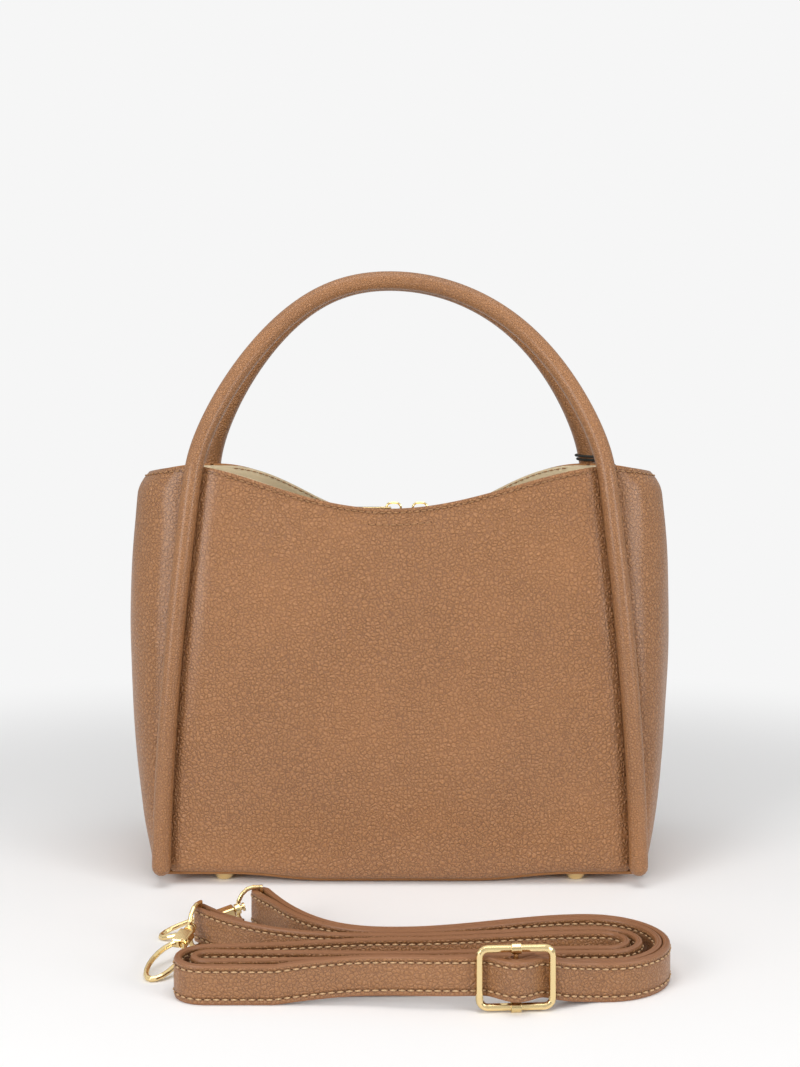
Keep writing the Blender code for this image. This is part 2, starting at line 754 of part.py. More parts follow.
def make_slider(side, x, way):
    """A slider of two plates on a post, with a bridge for its pull, and the pull laid flat outwards."""
    home = Matrix.Translation((x, 0.0, ZIP_HEIGHT)) @ Matrix.Rotation(0.0 if way > 0 else math.pi, 4, "Z")
    plate_low = TOOTH_HEIGHT / 2.0 + GAP
    upper = block("zip_slider_" + side, (SLIDER_LENGTH, SLIDER_WIDTH, SLIDER_PLATE),
                  (0.0, 0.0, plate_low + SLIDER_PLATE / 2.0), gold, SLIDER_PLATE / 3.0, home)
    lower = block("slider_lower_" + side, (SLIDER_LENGTH, SLIDER_WIDTH, SLIDER_PLATE),
                  (0.0, 0.0, -plate_low - SLIDER_PLATE / 2.0), None, SLIDER_PLATE / 3.0, home)
    post_height = 2.0 * plate_low + SLIDER_PLATE
    post = block("slider_post_" + side, (SLIDER_LENGTH / 4.0, SLIDER_POST, post_height),
                 (-SLIDER_LENGTH / 4.0, 0.0, 0.0), None, 0.0, home)
    top = plate_low + SLIDER_PLATE
    half = BRIDGE_LENGTH / 2.0 - BRIDGE_RADIUS
    points = []
    steps = 8
    for step in range(steps + 1):
        angle = math.pi * step / steps
        points.append((half * power(math.cos(angle), 2.0 / 3.0), 0.0,
                       top + (BRIDGE_RISE - BRIDGE_RADIUS) * power(math.sin(angle), 2.0 / 3.0)
                       - SLIDER_PLATE / 2.0))
    bridge = as_mesh(wire("slider_bridge_" + side, points, BRIDGE_RADIUS, None, 1, frame=home))
    join(join(join(upper, lower), post), bridge)
    hinge_x = half - BRIDGE_RADIUS - 3.0 * GAP - PULL_PLATE / 2.0
    hinge_z = top + GAP + PULL_PLATE / 2.0
    hinge = home @ Matrix.Translation((hinge_x, 0.0, hinge_z))
    eye = PULL_EYE_RADIUS
    pull = block("zip_pull_" + side, (PULL_LENGTH, PULL_WIDTH, PULL_PLATE),
                 (PULL_LENGTH / 2.0 - PULL_PLATE / 2.0, 0.0, 0.0), gold, 0.0, hinge)
    slot_length = half - hinge_x + BRIDGE_RADIUS + 3.0 * GAP + eye
    slot = block("pull_slot_" + side, (slot_length, 2.0 * eye, PULL_PLATE + 2.0 * OVERRUN),
                 (slot_length / 2.0 + PULL_PLATE / 2.0, 0.0, 0.0), None, 0.0, hinge)
    cut(pull, slot)


def make_snaps():
    """Magnetic snaps at the top middle of both panels, and their partners on the compartment."""
    for side, sign, dip in (("front", -1.0, FRONT_DIP), ("back", 1.0, BACK_DIP)):
        height = min(CORNER_HEIGHT - dip - SNAP_BELOW_RIM, ZIP_HEIGHT - SNAP_RADIUS - SNAP_BELOW_ZIP)
        outer = sign * (lining_inner_y(height + SNAP_RADIUS) - 3.0 * GAP)
        inner = sign * (COMPARTMENT_DEPTH / 2.0 + GAP)
        stud = rod("snap_stud_" + side, SNAP_STUD_RADIUS, (0.0, outer - sign * SNAP_PLATE / 2.0, height),
                   (0.0, outer - sign * (SNAP_PLATE + SNAP_STUD), height), None)
        plate = rod("snap_" + side, SNAP_RADIUS, (0.0, outer, height),
                    (0.0, outer - sign * SNAP_PLATE, height), gold, 20)
        join(plate, stud)
        socket = rod("snap_socket_" + side, SNAP_RADIUS, (0.0, inner, height),
                     (0.0, inner + sign * 2.0 * SNAP_PLATE, height), gold, 20)
        dimple = rod("snap_dimple_" + side, SNAP_STUD_RADIUS + GAP,
                     (0.0, inner + sign * SNAP_PLATE, height),
                     (0.0, inner + sign * (2.0 * SNAP_PLATE + OVERRUN), height), None)
        cut(socket, dimple)


def d_ring_points(width, reach, sides_share=0.35):
    """A closed D: a straight bar on the Y axis, and an arc that reaches out along X."""
    points = [Vector((0.0, -width / 2.0, 0.0)), Vector((0.0, width / 2.0, 0.0)),
              Vector((reach * sides_share, width / 2.0, 0.0))]
    steps = 8
    for step in range(1, steps):
        angle = math.pi / 2.0 - math.pi * step / steps
        points.append(Vector((reach * (sides_share + (1.0 - sides_share) * math.cos(angle)),
                              width / 2.0 * math.sin(angle), 0.0)))
    points.append(Vector((reach * sides_share, -width / 2.0, 0.0)))
    return points


def make_strap_rings():
    """D-rings inside the gussets' tops, each hung in a folded leather tab."""
    for side, way in (("right", 1.0), ("left", -1.0)):
        height = CORNER_HEIGHT - GUSSET_DROP - TAB_BELOW_RIM - TAB_PLY
        room = RING_RADIUS + GAP + TAB_PLY
        wall_x = min(lining_inner_x(height, 0.0), lining_inner_x(height - TAB_LENGTH, 0.0))
        centre_x = wall_x - room
        flip = Matrix.Rotation(0.0 if way > 0 else math.pi, 4, "Z")
        home = flip @ Matrix.Translation((centre_x, 0.0, height - room))
        eye = rod("tab_roll_" + side, room, (0.0, -TAB_WIDTH / 2.0, 0.0), (0.0, TAB_WIDTH / 2.0, 0.0),
                  None, 12, home)
        tab = block("ring_tab_" + side, (2.0 * TAB_PLY, TAB_WIDTH, TAB_LENGTH),
                    (room - TAB_PLY, 0.0, -TAB_LENGTH / 2.0), tan_leather, 0.0, home)
        bore = rod("tab_bore_" + side, RING_RADIUS + GAP, (0.0, -TAB_WIDTH / 2.0 - OVERRUN, 0.0),
                   (0.0, TAB_WIDTH / 2.0 + OVERRUN, 0.0), None, 12, home)
        cut(join(tab, eye), bore)
        hang = home @ Matrix.Rotation(math.radians(RING_HANG_ANGLE), 4, "Y")
        as_mesh(wire("d_ring_" + side, d_ring_points(RING_WIDTH, RING_REACH), RING_RADIUS, gold, 2,
                     cyclic=True, frame=hang))


# The folded strap: its centre line seen from above, with each point's height as its lift


def run_setback(run, x):
    """How far one of the six runs lies in front of the bundle's back, at a place along it."""
    middle = RUN_SHARES[run] * BUNDLE_DEPTH
    out = 0.0
    if run == 5:
        reach = SLIDE_OUT_LEFT if x < SLIDE_X else RIGHT_TURN_X - SLIDE_X
        out = SLIDE_OUT * ease((reach - abs(x - SLIDE_X)) / (reach - SLIDE_WIDTH / 2.0))
    right = (OUTER_TURN_SETBACK - OUTER_TURN_RADIUS, NEAR_TURN_SETBACK - MIDDLE_TURN_RADIUS,
             NEAR_TURN_SETBACK - INNER_TURN_RADIUS, NEAR_TURN_SETBACK + INNER_TURN_RADIUS,
             NEAR_TURN_SETBACK + MIDDLE_TURN_RADIUS, OUTER_TURN_SETBACK + OUTER_TURN_RADIUS)[run]
    left = (-SECOND_END_OUT, -FIRST_END_OUT, LEFT_TURN_SETBACK - FAR_TURN_RADIUS,
            LEFT_TURN_SETBACK - TIGHT_TURN_RADIUS, LEFT_TURN_SETBACK + TIGHT_TURN_RADIUS,
            LEFT_TURN_SETBACK + FAR_TURN_RADIUS)[run]
    if x >= 0.0:
        return middle + (right - middle) * ease(x / RIGHT_TURN_X) + out
    if run == 0:
        return middle + (left - middle) * (x / SECOND_END_X) ** END_CURVE_SHARE
    if run == 1:
        return middle + (left - middle) * (x / FIRST_END_X) ** END_CURVE_SHARE
    return middle + (left - middle) * ease(x / LEFT_TURN_X) + out


def bundle_point(x, setback, lift=0.0):
    return Vector((x, -BASE_DEPTH / 2.0 - BUNDLE_TO_BAG - setback, lift))


def slide_lift(x):
    """The slide stands on the floor and holds the strap at its middle."""
    reach = SLIDE_LIFT_LEFT if x < SLIDE_X else SLIDE_LIFT_RIGHT
    share = min(abs(x - SLIDE_X) / reach, 1.0)
    return (slide_middle_height() - STRAP_WIDTH / 2.0) * math.cos(share * math.pi / 2.0) ** 2


def slide_middle_height():
    """The slide stands on its bar's lower collar."""
    return SLIDE_HEIGHT / 2.0 - SLIDE_WIRE_RADIUS + COLLAR_RADIUS


def end_lift(distance):
    """The swivel loops stand on the floor and hold the strap's ends up."""
    share = 1.0 - min(distance / END_LIFT_REACH, 1.0)
    return (GAP + 2.0 * HOOK_WIRE_RADIUS) * share * share


def run_points(run, start, end, step):
    """Points along a run between two places."""
    count = max(round(abs(end - start) / step), 2)
    made = []
    for index in range(count + 1):
        x = start + (end - start) * index / count
        lift = 0.0
        if run == 0 and x < 0.0:
            lift = end_lift(x - SECOND_END_X)
        if run == 1 and x < 0.0:
            lift = end_lift(x - FIRST_END_X)
        if run == 5:
            lift = slide_lift(x)
        made.append(bundle_point(x, run_setback(run, x), lift))
    return made


def turn_points(x, setback, radius, start, sweep):
    """Points round a turn, without its two ends, at angles in degrees from +X."""
    count = max(round(abs(math.radians(sweep)) * radius / TURN_STEP), 5)
    made = []
    for index in range(1, count):
        angle = math.radians(start + sweep * index / count)
        made.append(bundle_point(x + radius * math.cos(angle), setback - radius * math.sin(angle)))
    return made


def side_of(points, index):
    """The direction to the left of a path at one of its points."""
    ahead = points[min(index + 1, len(points) - 1)]
    behind = points[max(index - 1, 0)]
    along = Vector((ahead.x - behind.x, ahead.y - behind.y, 0.0)).normalized()
    return Vector((-along.y, along.x, 0.0))


def fold_back(points, side, radius, apart, reach):
    """Carry a path on round a bar at its end, then back beside itself. Gives also the bar's middle."""
    left = side_of(points, len(points) - 1) * side
    along = Vector((left.y, -left.x, 0.0)) * side
    centre = points[-1] + left * radius
    made = []
    steps = 6
    for index in range(1, steps):
        angle = math.pi * index / steps
        made.append(centre - left * radius * math.cos(angle) + along * radius * math.sin(angle))
    gone = 0.0
    for index in range(len(points) - 1, -1, -1):
        if index < len(points) - 1:
            gone += (points[index + 1] - points[index]).length
        if gone > reach:
            break
        near = apart(gone)
        distance = near + (2.0 * radius - near) * (1.0 - ease(gone / FOLD_SETTLE))
        made.append(points[index] + side_of(points, index) * side * distance)
    return made, centre


def slide_window():
    return SLIDE_WIDTH / 2.0 - 2.0 * SLIDE_WIRE_RADIUS


def ply_over_bar():
    """From the slide's bar to the middle of the ply that runs over it and over the sewn end."""
    return SLIDE_BAR_RADIUS + GAP + SKIVED_PLY + GAP + STRAP_PLY / 2.0


def ply_behind_wire():
    return SLIDE_WIRE_RADIUS + GAP + STRAP_PLY / 2.0


def strap_path():
    """The whole strap: its centre line, the two hook bars' middles and the slide's middle."""
    step = STRAP_STEP
    points = run_points(1, FIRST_END_X, NEAR_TURN_X, step)
    points += turn_points(NEAR_TURN_X, NEAR_TURN_SETBACK, MIDDLE_TURN_RADIUS, 90.0, -180.0)
    points += run_points(4, NEAR_TURN_X, LEFT_TURN_X, step)
    points += turn_points(LEFT_TURN_X, LEFT_TURN_SETBACK, TIGHT_TURN_RADIUS, 270.0, -180.0)
    points += run_points(3, LEFT_TURN_X, NEAR_TURN_X, step)
    points += turn_points(NEAR_TURN_X, NEAR_TURN_SETBACK, INNER_TURN_RADIUS, -90.0, 180.0)
    points += run_points(2, NEAR_TURN_X, LEFT_TURN_X, step)
    points += turn_points(LEFT_TURN_X, LEFT_TURN_SETBACK, FAR_TURN_RADIUS, 90.0, 180.0)
    window = slide_window()
    points += run_points(5, LEFT_TURN_X, SLIDE_X - window, step)[:-1]
    over = run_points(5, SLIDE_X - window, SLIDE_X + window, window / 6.0)
    behind = side_of(over, len(over) // 2)
    rise = ply_over_bar() + ply_behind_wire()
    for point in over:
        share = math.cos((point.x - SLIDE_X) / window * math.pi / 2.0) ** 2
        point -= behind * rise * share
    half = len(over) // 2
    points += over[:half]
    after = over[half:]
    after += run_points(5, SLIDE_X + window, RIGHT_TURN_X, step)[1:]
    after += turn_points(RIGHT_TURN_X, OUTER_TURN_SETBACK, OUTER_TURN_RADIUS, -90.0, 180.0)
    after += run_points(0, RIGHT_TURN_X, SECOND_END_X, step)

    skived_apart = (STRAP_PLY + SKIVED_PLY) / 2.0 + GAP
    wrapped = slide_window() + math.pi * (SLIDE_BAR_RADIUS + GAP + SKIVED_PLY / 2.0)
    head, first_bar = fold_back(list(reversed(points)), -1.0,
                                HOOK_WIRE_RADIUS + GAP + SKIVED_PLY / 2.0,
                                lambda gone: skived_apart, SEWN_RETURN)
    total = sum((second - first).length for first, second in zip(after, after[1:]))

    def beside(gone):
        full = ease((total - gone + wrapped - SKIVED_LENGTH) / SKIVE_RUN + SKIVE_LEAD_SHARE)
        return skived_apart + (STRAP_PLY + GAP - skived_apart) * full

    tail, second_bar = fold_back(after, 1.0, HOOK_WIRE_RADIUS + GAP + STRAP_PLY / 2.0, beside, total)
    sewn, slide_bar = fold_back(tail, -1.0, SLIDE_BAR_RADIUS + GAP + SKIVED_PLY / 2.0,
                                lambda gone: SKIVED_PLY + GAP, slide_window())
    return head[::-1] + points + after + tail + sewn, first_bar, second_bar, slide_bar, behind


def make_strap():
    """The strap as one unbroken ribbon on its edge, thinner where its ends are sewn back."""
    path, first_bar, second_bar, slide_bar, behind = strap_path()
    lengths = [0.0]
    for first, second in zip(path, path[1:]):
        lengths.append(lengths[-1] + (second - first).length)
    last = len(path) - 1

    def ribbon_point(across, up):
        point = path[round((across + 1.0) / 2.0 * last)]
        return Vector((point.x, point.y, point.z + up * STRAP_WIDTH))

    strap = sheet("shoulder_strap", last, 1, ribbon_point, STRAP_PLY, tan_leather, 0.0)
    full = strap.vertex_groups.new(name="full_ply")
    for vertex in strap.data.vertices:
        index = vertex.index % (last + 1)
        from_end = min(lengths[index], lengths[-1] - lengths[index])
        full.add([vertex.index], ease((from_end - SKIVED_LENGTH) / SKIVE_RUN), "REPLACE")
    solid = strap.modifiers["Thickness"]
    solid.vertex_group = "full_ply"
    solid.thickness_vertex_group = SKIVED_PLY / STRAP_PLY
    print("strap length", round(lengths[-1], 3))
    return first_bar, second_bar, slide_bar, behind


def make_slide(bar, behind):
    """The slide buckle: a rounded wire frame, and a bar whose collars grip its two long sides."""
    turn = Matrix.Rotation(math.atan2(behind.x, behind.y), 4, "Z").inverted()
    home = Matrix.Translation((bar.x, bar.y, slide_middle_height())) @ turn
    half_width = SLIDE_WIDTH / 2.0 - SLIDE_WIRE_RADIUS
    half_height = SLIDE_HEIGHT / 2.0 - SLIDE_WIRE_RADIUS
    corner = SLIDE_CORNER - SLIDE_WIRE_RADIUS
    points = []
    for quarter in range(4):
        middle_x = (half_width - corner) * (1 if quarter in (0, 3) else -1)
        middle_z = (half_height - corner) * (1 if quarter in (0, 1) else -1)
        for index in range(5):
            angle = math.pi / 2.0 * (quarter + index / 4.0)
            points.append((middle_x + corner * math.cos(angle), 0.0, middle_z + corner * math.sin(angle)))
    as_mesh(wire("slide_frame", points, SLIDE_WIRE_RADIUS, gold, 2, cyclic=True, frame=home))
    slide_bar = rod("slide_bar", SLIDE_BAR_RADIUS, (0.0, 0.0, -half_height + SLIDE_WIRE_RADIUS),
                    (0.0, 0.0, half_height - SLIDE_WIRE_RADIUS), gold, 10, home)
    for side, sign in (("low", -1.0), ("high", 1.0)):
        start = (-COLLAR_WIDTH / 2.0, 0.0, sign * half_height)
        end = (COLLAR_WIDTH / 2.0, 0.0, sign * half_height)
        join(slide_bar, rod("collar_" + side, COLLAR_RADIUS, start, end, None, 12, home))
    for side, sign in (("low", -1.0), ("high", 1.0)):
        start = (-COLLAR_WIDTH / 2.0 - OVERRUN, 0.0, sign * half_height)
        end = (COLLAR_WIDTH / 2.0 + OVERRUN, 0.0, sign * half_height)
        cut(slide_bar, rod("collar_bore_" + side, SLIDE_WIRE_RADIUS + GAP, start, end, None, 12, home))


def hook_frames(bar, heading):
    """The swivel loop's frame at its bar, and the hook's frame at the swivel, which leans to the floor."""
    loop_height = STRAP_WIDTH + 2.0 * (GAP + HOOK_WIRE_RADIUS)
    centre = Vector((bar.x, bar.y, loop_height / 2.0 + HOOK_WIRE_RADIUS))
    loop = Matrix.Translation(centre) @ Matrix.Rotation(math.radians(heading), 4, "Z")
    reach = HOOK_COLLAR / 2.0 + GAP + HOOK_HEAD_LENGTH + HOOK_OVAL_LENGTH - 3.0 * HOOK_BAND_RADIUS
    tilt = math.asin((centre.z - HOOK_BAND_RADIUS) / reach)
    swivel = loop @ Matrix.Translation((HOOK_LOOP_REACH, 0.0, 0.0)) @ Matrix.Rotation(tilt, 4, "Y")
    return loop, swivel, loop_height


def oval_point(angle_share):
    """A point of the hook's oval in its own plane, from its tip round to its head."""
    head_end = HOOK_COLLAR / 2.0 + GAP + HOOK_HEAD_LENGTH
    middle = head_end + HOOK_OVAL_LENGTH / 2.0 - 2.0 * HOOK_BAND_RADIUS
    angle = math.pi * angle_share
    return Vector((middle + (HOOK_OVAL_LENGTH / 2.0 - HOOK_BAND_RADIUS) * math.cos(angle),
                   (HOOK_OVAL_WIDTH / 2.0 - HOOK_BAND_RADIUS) * math.sin(angle), 0.0))


def oval_points(start_share, end_share, count):
    return [oval_point(start_share + (end_share - start_share) * index / count)
            for index in range(count + 1)]


def make_hook(number, bar, heading):
    """A swivel snap hook: D-shaped loop with a collar, body with an oval, hinged gate and its pin."""
    loop_frame, swivel, loop_height = hook_frames(bar, heading)
    tag = "_" + str(number)
    upright = loop_frame @ Matrix.Rotation(math.pi / 2.0, 4, "X")
    loop = as_mesh(wire("hook_loop" + tag, d_ring_points(loop_height, HOOK_LOOP_REACH), HOOK_WIRE_RADIUS,
                        gold, 2, cyclic=True, frame=upright))
    half = HOOK_COLLAR / 2.0
    bore = HOOK_NECK_RADIUS + GAP
    collar = rod("hook_collar" + tag, bore + HOOK_WIRE_RADIUS, (-half, 0.0, 0.0), (half, 0.0, 0.0),
                 None, 12, swivel)
    through = rod("hook_bore" + tag, bore, (-half - OVERRUN, 0.0, 0.0), (half + OVERRUN, 0.0, 0.0),
                  None, 12, swivel)
    cut(join(loop, collar), through)

    head_start = half + GAP
    head_end = head_start + HOOK_HEAD_LENGTH
    head = block("hook_body" + tag, (HOOK_HEAD_LENGTH, HOOK_HEAD_WIDTH, HOOK_HEAD_THICKNESS),
                 (head_start + HOOK_HEAD_LENGTH / 2.0, 0.0, 0.0), gold, HOOK_WIRE_RADIUS / 2.0, swivel)
    rivet_end = -half - 2.0 * GAP - HOOK_WIRE_RADIUS / 2.0
    join(head, rod("hook_neck" + tag, HOOK_NECK_RADIUS, (rivet_end - HOOK_WIRE_RADIUS / 2.0, 0.0, 0.0),
                   (head_start + HOOK_WIRE_RADIUS, 0.0, 0.0), None, 12, swivel))
    join(head, rod("hook_rivet" + tag, bore + HOOK_WIRE_RADIUS / 2.0,
                   (rivet_end - HOOK_WIRE_RADIUS, 0.0, 0.0), (rivet_end, 0.0, 0.0), None, 12, swivel))
    band = as_mesh(wire("hook_oval" + tag, oval_points(-OVAL_START_SHARE, GATE_END_SHARE, 14),
                        HOOK_BAND_RADIUS, None, 2, frame=swivel))
    join(head, band)
    root = oval_point(GATE_START_SHARE)
    room = HOOK_BAND_RADIUS + GAP
    slot_low = Vector((root.x - room - 2.0 * GAP, root.y - room - GAP, 0.0))
    slot_size = Vector((HOOK_HEAD_LENGTH, HOOK_HEAD_WIDTH, 2.0 * room))
    slot = block("hook_slot" + tag, slot_size, slot_low + Vector((slot_size.x, slot_size.y, 0.0)) / 2.0,
                 None, 0.0, swivel)
    cut(head, slot)
    pin_radius = HOOK_BAND_RADIUS / 3.0
    tall = HOOK_HEAD_THICKNESS / 2.0
    hole = rod("hook_pin_hole" + tag, pin_radius + GAP, root - Vector((0.0, 0.0, tall + OVERRUN)),
               root + Vector((0.0, 0.0, tall + OVERRUN)), None, 10, swivel)
    cut(head, hole)
    rod("hook_pin" + tag, pin_radius, root - Vector((0.0, 0.0, tall)), root + Vector((0.0, 0.0, tall)),
        gold, 8, swivel)
    hinge = swivel @ Matrix.Translation(root)
    path = [point - root for point in oval_points(GATE_START_SHARE, GATE_END_SHARE + GATE_GAP_SHARE, 6)]
    along = (path[1] - path[0]).normalized()
    tips = [path[0] - along * HOOK_BAND_RADIUS * (1.0 - share) for share in TIP_SHARES]
    shares = [math.sqrt(1.0 - (1.0 - share) ** 2) for share in TIP_SHARES]
    gate = as_mesh(wire("hook_gate" + tag, tips + path[1:], HOOK_BAND_RADIUS, gold, 2,
                        shares=shares + [1.0] * (len(path) - 1), frame=hinge))
    gate_hole = rod("hook_gate_hole" + tag, pin_radius + GAP, (0.0, 0.0, -tall), (0.0, 0.0, tall),
                    None, 10, hinge)
    cut(gate, gate_hole)


def make_swing_tag():
    """A blank tag behind the right gusset, on an elastic wound twice round the back handle's right leg."""
    leg = Vector((TOP_WIDTH / 2.0, TOP_DEPTH / 2.0, CORNER_HEIGHT))
    across = ROLL_RADIUS + 4.0 * GAP + ELASTIC_RADIUS
    along = across + LOOP_SLACK
    pitch = 2.0 * (ELASTIC_RADIUS + GAP)
    path = []
    for step in range(2 * COIL_STEPS + 1):
        angle = 2.0 * math.pi * step / COIL_STEPS
        rise = ELASTIC_RADIUS + 2.0 * GAP + pitch * (2.0 - step / COIL_STEPS)
        path.append(leg + Vector((across * math.cos(angle), along * math.sin(angle), rise)))
    clear = ELASTIC_RADIUS + GAP
    widest = CORNER_HEIGHT / 2.0
    lead = [path[-1]]
    steps = 9
    for step in range(steps + 1):
        share = step / steps
        height = CORNER_HEIGHT - share * (CORNER_HEIGHT - TAG_TOP)
        angle = math.radians(TAG_START_ANGLE + (TAG_END_ANGLE - TAG_START_ANGLE) * share)
        point = gusset_point(angle, max(height, widest), 0.0, -2.0 * clear)
        lead.append(Vector((point.x, point.y, height)))
    path += smoothed(lead)[1:]
    as_mesh(wire("tag_elastic", path, ELASTIC_RADIUS, black, 1))
    hang = path[-1]
    behind = gusset_point(math.radians(TAG_END_ANGLE + TAG_SPAN_ANGLE), widest)
    before = gusset_point(math.radians(TAG_END_ANGLE - TAG_SPAN_ANGLE), widest)
    turn = Matrix.Rotation(math.atan2(before.x - behind.x, behind.y - before.y), 4, "Z")
    centre = Vector((hang.x, hang.y, TAG_TOP - GAP - TAG_HEIGHT / 2.0))
    block("swing_tag", (TAG_PLATE, TAG_WIDTH, TAG_HEIGHT), (0.0, 0.0, 0.0), black, 0.0,
          Matrix.Translation(centre) @ turn)


def smoothed(points):
    """The same path with two more points in each of its steps, on a smooth curve."""
    made = []
    for index in range(len(points) - 1):
        before, start, end, beyond = (points[max(index - 1, 0)], points[index], points[index + 1],
                                      points[min(index + 2, len(points) - 1)])
        for part in range(3):
            t = part / 3.0
            made.append(0.5 * (2.0 * start + (end - before) * t
                               + (2.0 * before - 5.0 * start + 4.0 * end - beyond) * t * t
                               + (3.0 * start - before - 3.0 * end + beyond) * t * t * t))
    return made + [points[-1]]


def centre_on_floor():
    """Move everything so that the origin is under the middle of all but the hanging tag."""
    bpy.context.view_layer.update()
    graph = bpy.context.evaluated_depsgraph_get()
    places = []
    for item in parts.objects:
        if item.name in FREE_TAG:
            continue
        found = item.evaluated_get(graph)
        mesh = found.to_mesh()
        places += [found.matrix_world @ vertex.co for vertex in mesh.vertices]
        found.to_mesh_clear()
    low = Vector(min(place[axis] for place in places) for axis in range(3))
    high = Vector(max(place[axis] for place in places) for axis in range(3))
    shift = Matrix.Translation((-(low.x + high.x) / 2.0, -(low.y + high.y) / 2.0, -low.z))
    for item in list(parts.objects) + list(cutters.objects):
        item.matrix_world = shift @ item.matrix_world


clear_scene()
parts = new_collection("tote_bag")
cutters = new_collection("cutters")
make_walls()
shank_end = make_base()
make_handles()
make_lining(shank_end + GAP)
make_compartment(shank_end + GAP)
make_slider("left", SLIDER_LEFT_X, -1.0)
make_slider("right", SLIDER_RIGHT_X, 1.0)
make_snaps()
make_strap_rings()
hook_bar_1, hook_bar_2, slide_middle, slide_behind = make_strap()
make_slide(slide_middle, slide_behind)
make_hook(1, hook_bar_1, HOOK_1_HEADING)
make_hook(2, hook_bar_2, HOOK_2_HEADING)
make_swing_tag()
centre_on_floor()
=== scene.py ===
"""The tote bag dressed: grained leather, stitches, lining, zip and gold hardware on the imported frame."""

import json
import math

import bmesh
import bpy
from mathutils import Matrix, Vector, noise

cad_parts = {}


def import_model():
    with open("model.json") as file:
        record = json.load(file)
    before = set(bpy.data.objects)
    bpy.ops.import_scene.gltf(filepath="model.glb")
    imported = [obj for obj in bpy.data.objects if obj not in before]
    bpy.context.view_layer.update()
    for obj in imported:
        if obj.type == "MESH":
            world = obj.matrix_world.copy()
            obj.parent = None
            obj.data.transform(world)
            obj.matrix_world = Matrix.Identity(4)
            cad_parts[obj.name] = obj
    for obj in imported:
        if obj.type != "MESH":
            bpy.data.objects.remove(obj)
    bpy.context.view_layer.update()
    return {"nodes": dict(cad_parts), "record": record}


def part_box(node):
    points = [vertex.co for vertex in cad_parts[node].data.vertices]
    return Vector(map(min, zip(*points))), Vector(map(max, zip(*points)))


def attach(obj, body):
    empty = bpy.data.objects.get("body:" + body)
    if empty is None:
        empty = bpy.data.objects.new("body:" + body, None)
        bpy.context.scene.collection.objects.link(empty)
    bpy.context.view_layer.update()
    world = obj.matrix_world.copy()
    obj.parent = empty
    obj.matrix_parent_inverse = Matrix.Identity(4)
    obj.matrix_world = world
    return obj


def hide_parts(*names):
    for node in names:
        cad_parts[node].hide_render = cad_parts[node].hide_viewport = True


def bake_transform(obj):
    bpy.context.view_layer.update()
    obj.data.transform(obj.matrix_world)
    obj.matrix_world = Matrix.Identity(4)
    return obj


bl_info = {
    "name": "Tote bag",
    "version": (1, 0, 0),
    "blender": (4, 5, 0),
    "location": "3D View > Sidebar > Tote bag",
    "description": "Leather, stitches, lining, zip and gold hardware of a tote bag",
    "category": "Add Mesh",
}

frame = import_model()
BAG_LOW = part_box("front_left_roll")[0]
BAG_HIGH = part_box("back_right_roll")[1]
MIDDLE_Y = (BAG_LOW.y + BAG_HIGH.y) / 2.0
LINING_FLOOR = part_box("lining")[0].z

# The body's sizes, in metres, degrees and shares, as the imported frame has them
GAP = 0.0003
BASE_WIDTH = 0.250
TOP_WIDTH = 0.221
BASE_DEPTH = 0.130
TOP_DEPTH = 0.080
CORNER_HEIGHT = 0.220
FRONT_DIP = 0.0225
SEAM_CURVE_SHARE = 1.7
LEAN_CURVE_SHARE = 1.3
PANEL_SET = 0.002
PANEL_BULGE = 0.003
FOLD_RADIUS = 0.006
FOOT_HEIGHT = 0.006
FOOT_SPREAD_SHARE = 0.75
FOOT_RADIUS = 0.006
BASE_SAG = 0.0037
SAG_RISE_SHARE = 0.55
GUSSET_TOP_BULGE = 0.034
GUSSET_BASE_BULGE = 0.008
GUSSET_DROP = 0.0035
BULGE_CURVE_SHARE = 0.72
SECTION_SHARE = 0.83
ROLL_RADIUS = 0.005
HANDLE_RISE = 0.103
HANDLE_SIDE_SHARE = 2.1
HANDLE_RISE_SHARE = 1.5
HANDLE_LEAN_SHARE = 0.9
HANDLE_SKEW = -0.006
HANDLE_SKEW_SHARE = 6.0
LINING_DROP = 0.0012
COMPARTMENT_DEPTH = 0.024
COMPARTMENT_WALL = 0.0012
ZIP_HEIGHT = 0.1925
ZIP_LENGTH = 0.180
ZIP_SLIT = 0.0015
TAPE = 0.0006
TOOTH_LENGTH = 0.0022
TOOTH_WIDTH = 0.0011
TOOTH_HEIGHT = 0.0022
STOP_LENGTH = 0.003
RING_RADIUS = 0.00125
TAB_WIDTH = 0.012
TAB_PLY = 0.0012
TAB_LENGTH = 0.018
ELASTIC_RADIUS = 0.00075
LOOP_SLACK = 0.0045
TAG_WIDTH = 0.022
TAG_HEIGHT = 0.034
TAG_PLATE = 0.0008
TAG_TOP = 0.070
TAG_START_ANGLE = 64.0
TAG_END_ANGLE = 38.0
TAG_SPAN_ANGLE = 8.0
FOLD_TOP = FOOT_HEIGHT + FOLD_RADIUS
WIDEST_HEIGHT = CORNER_HEIGHT / 2.0

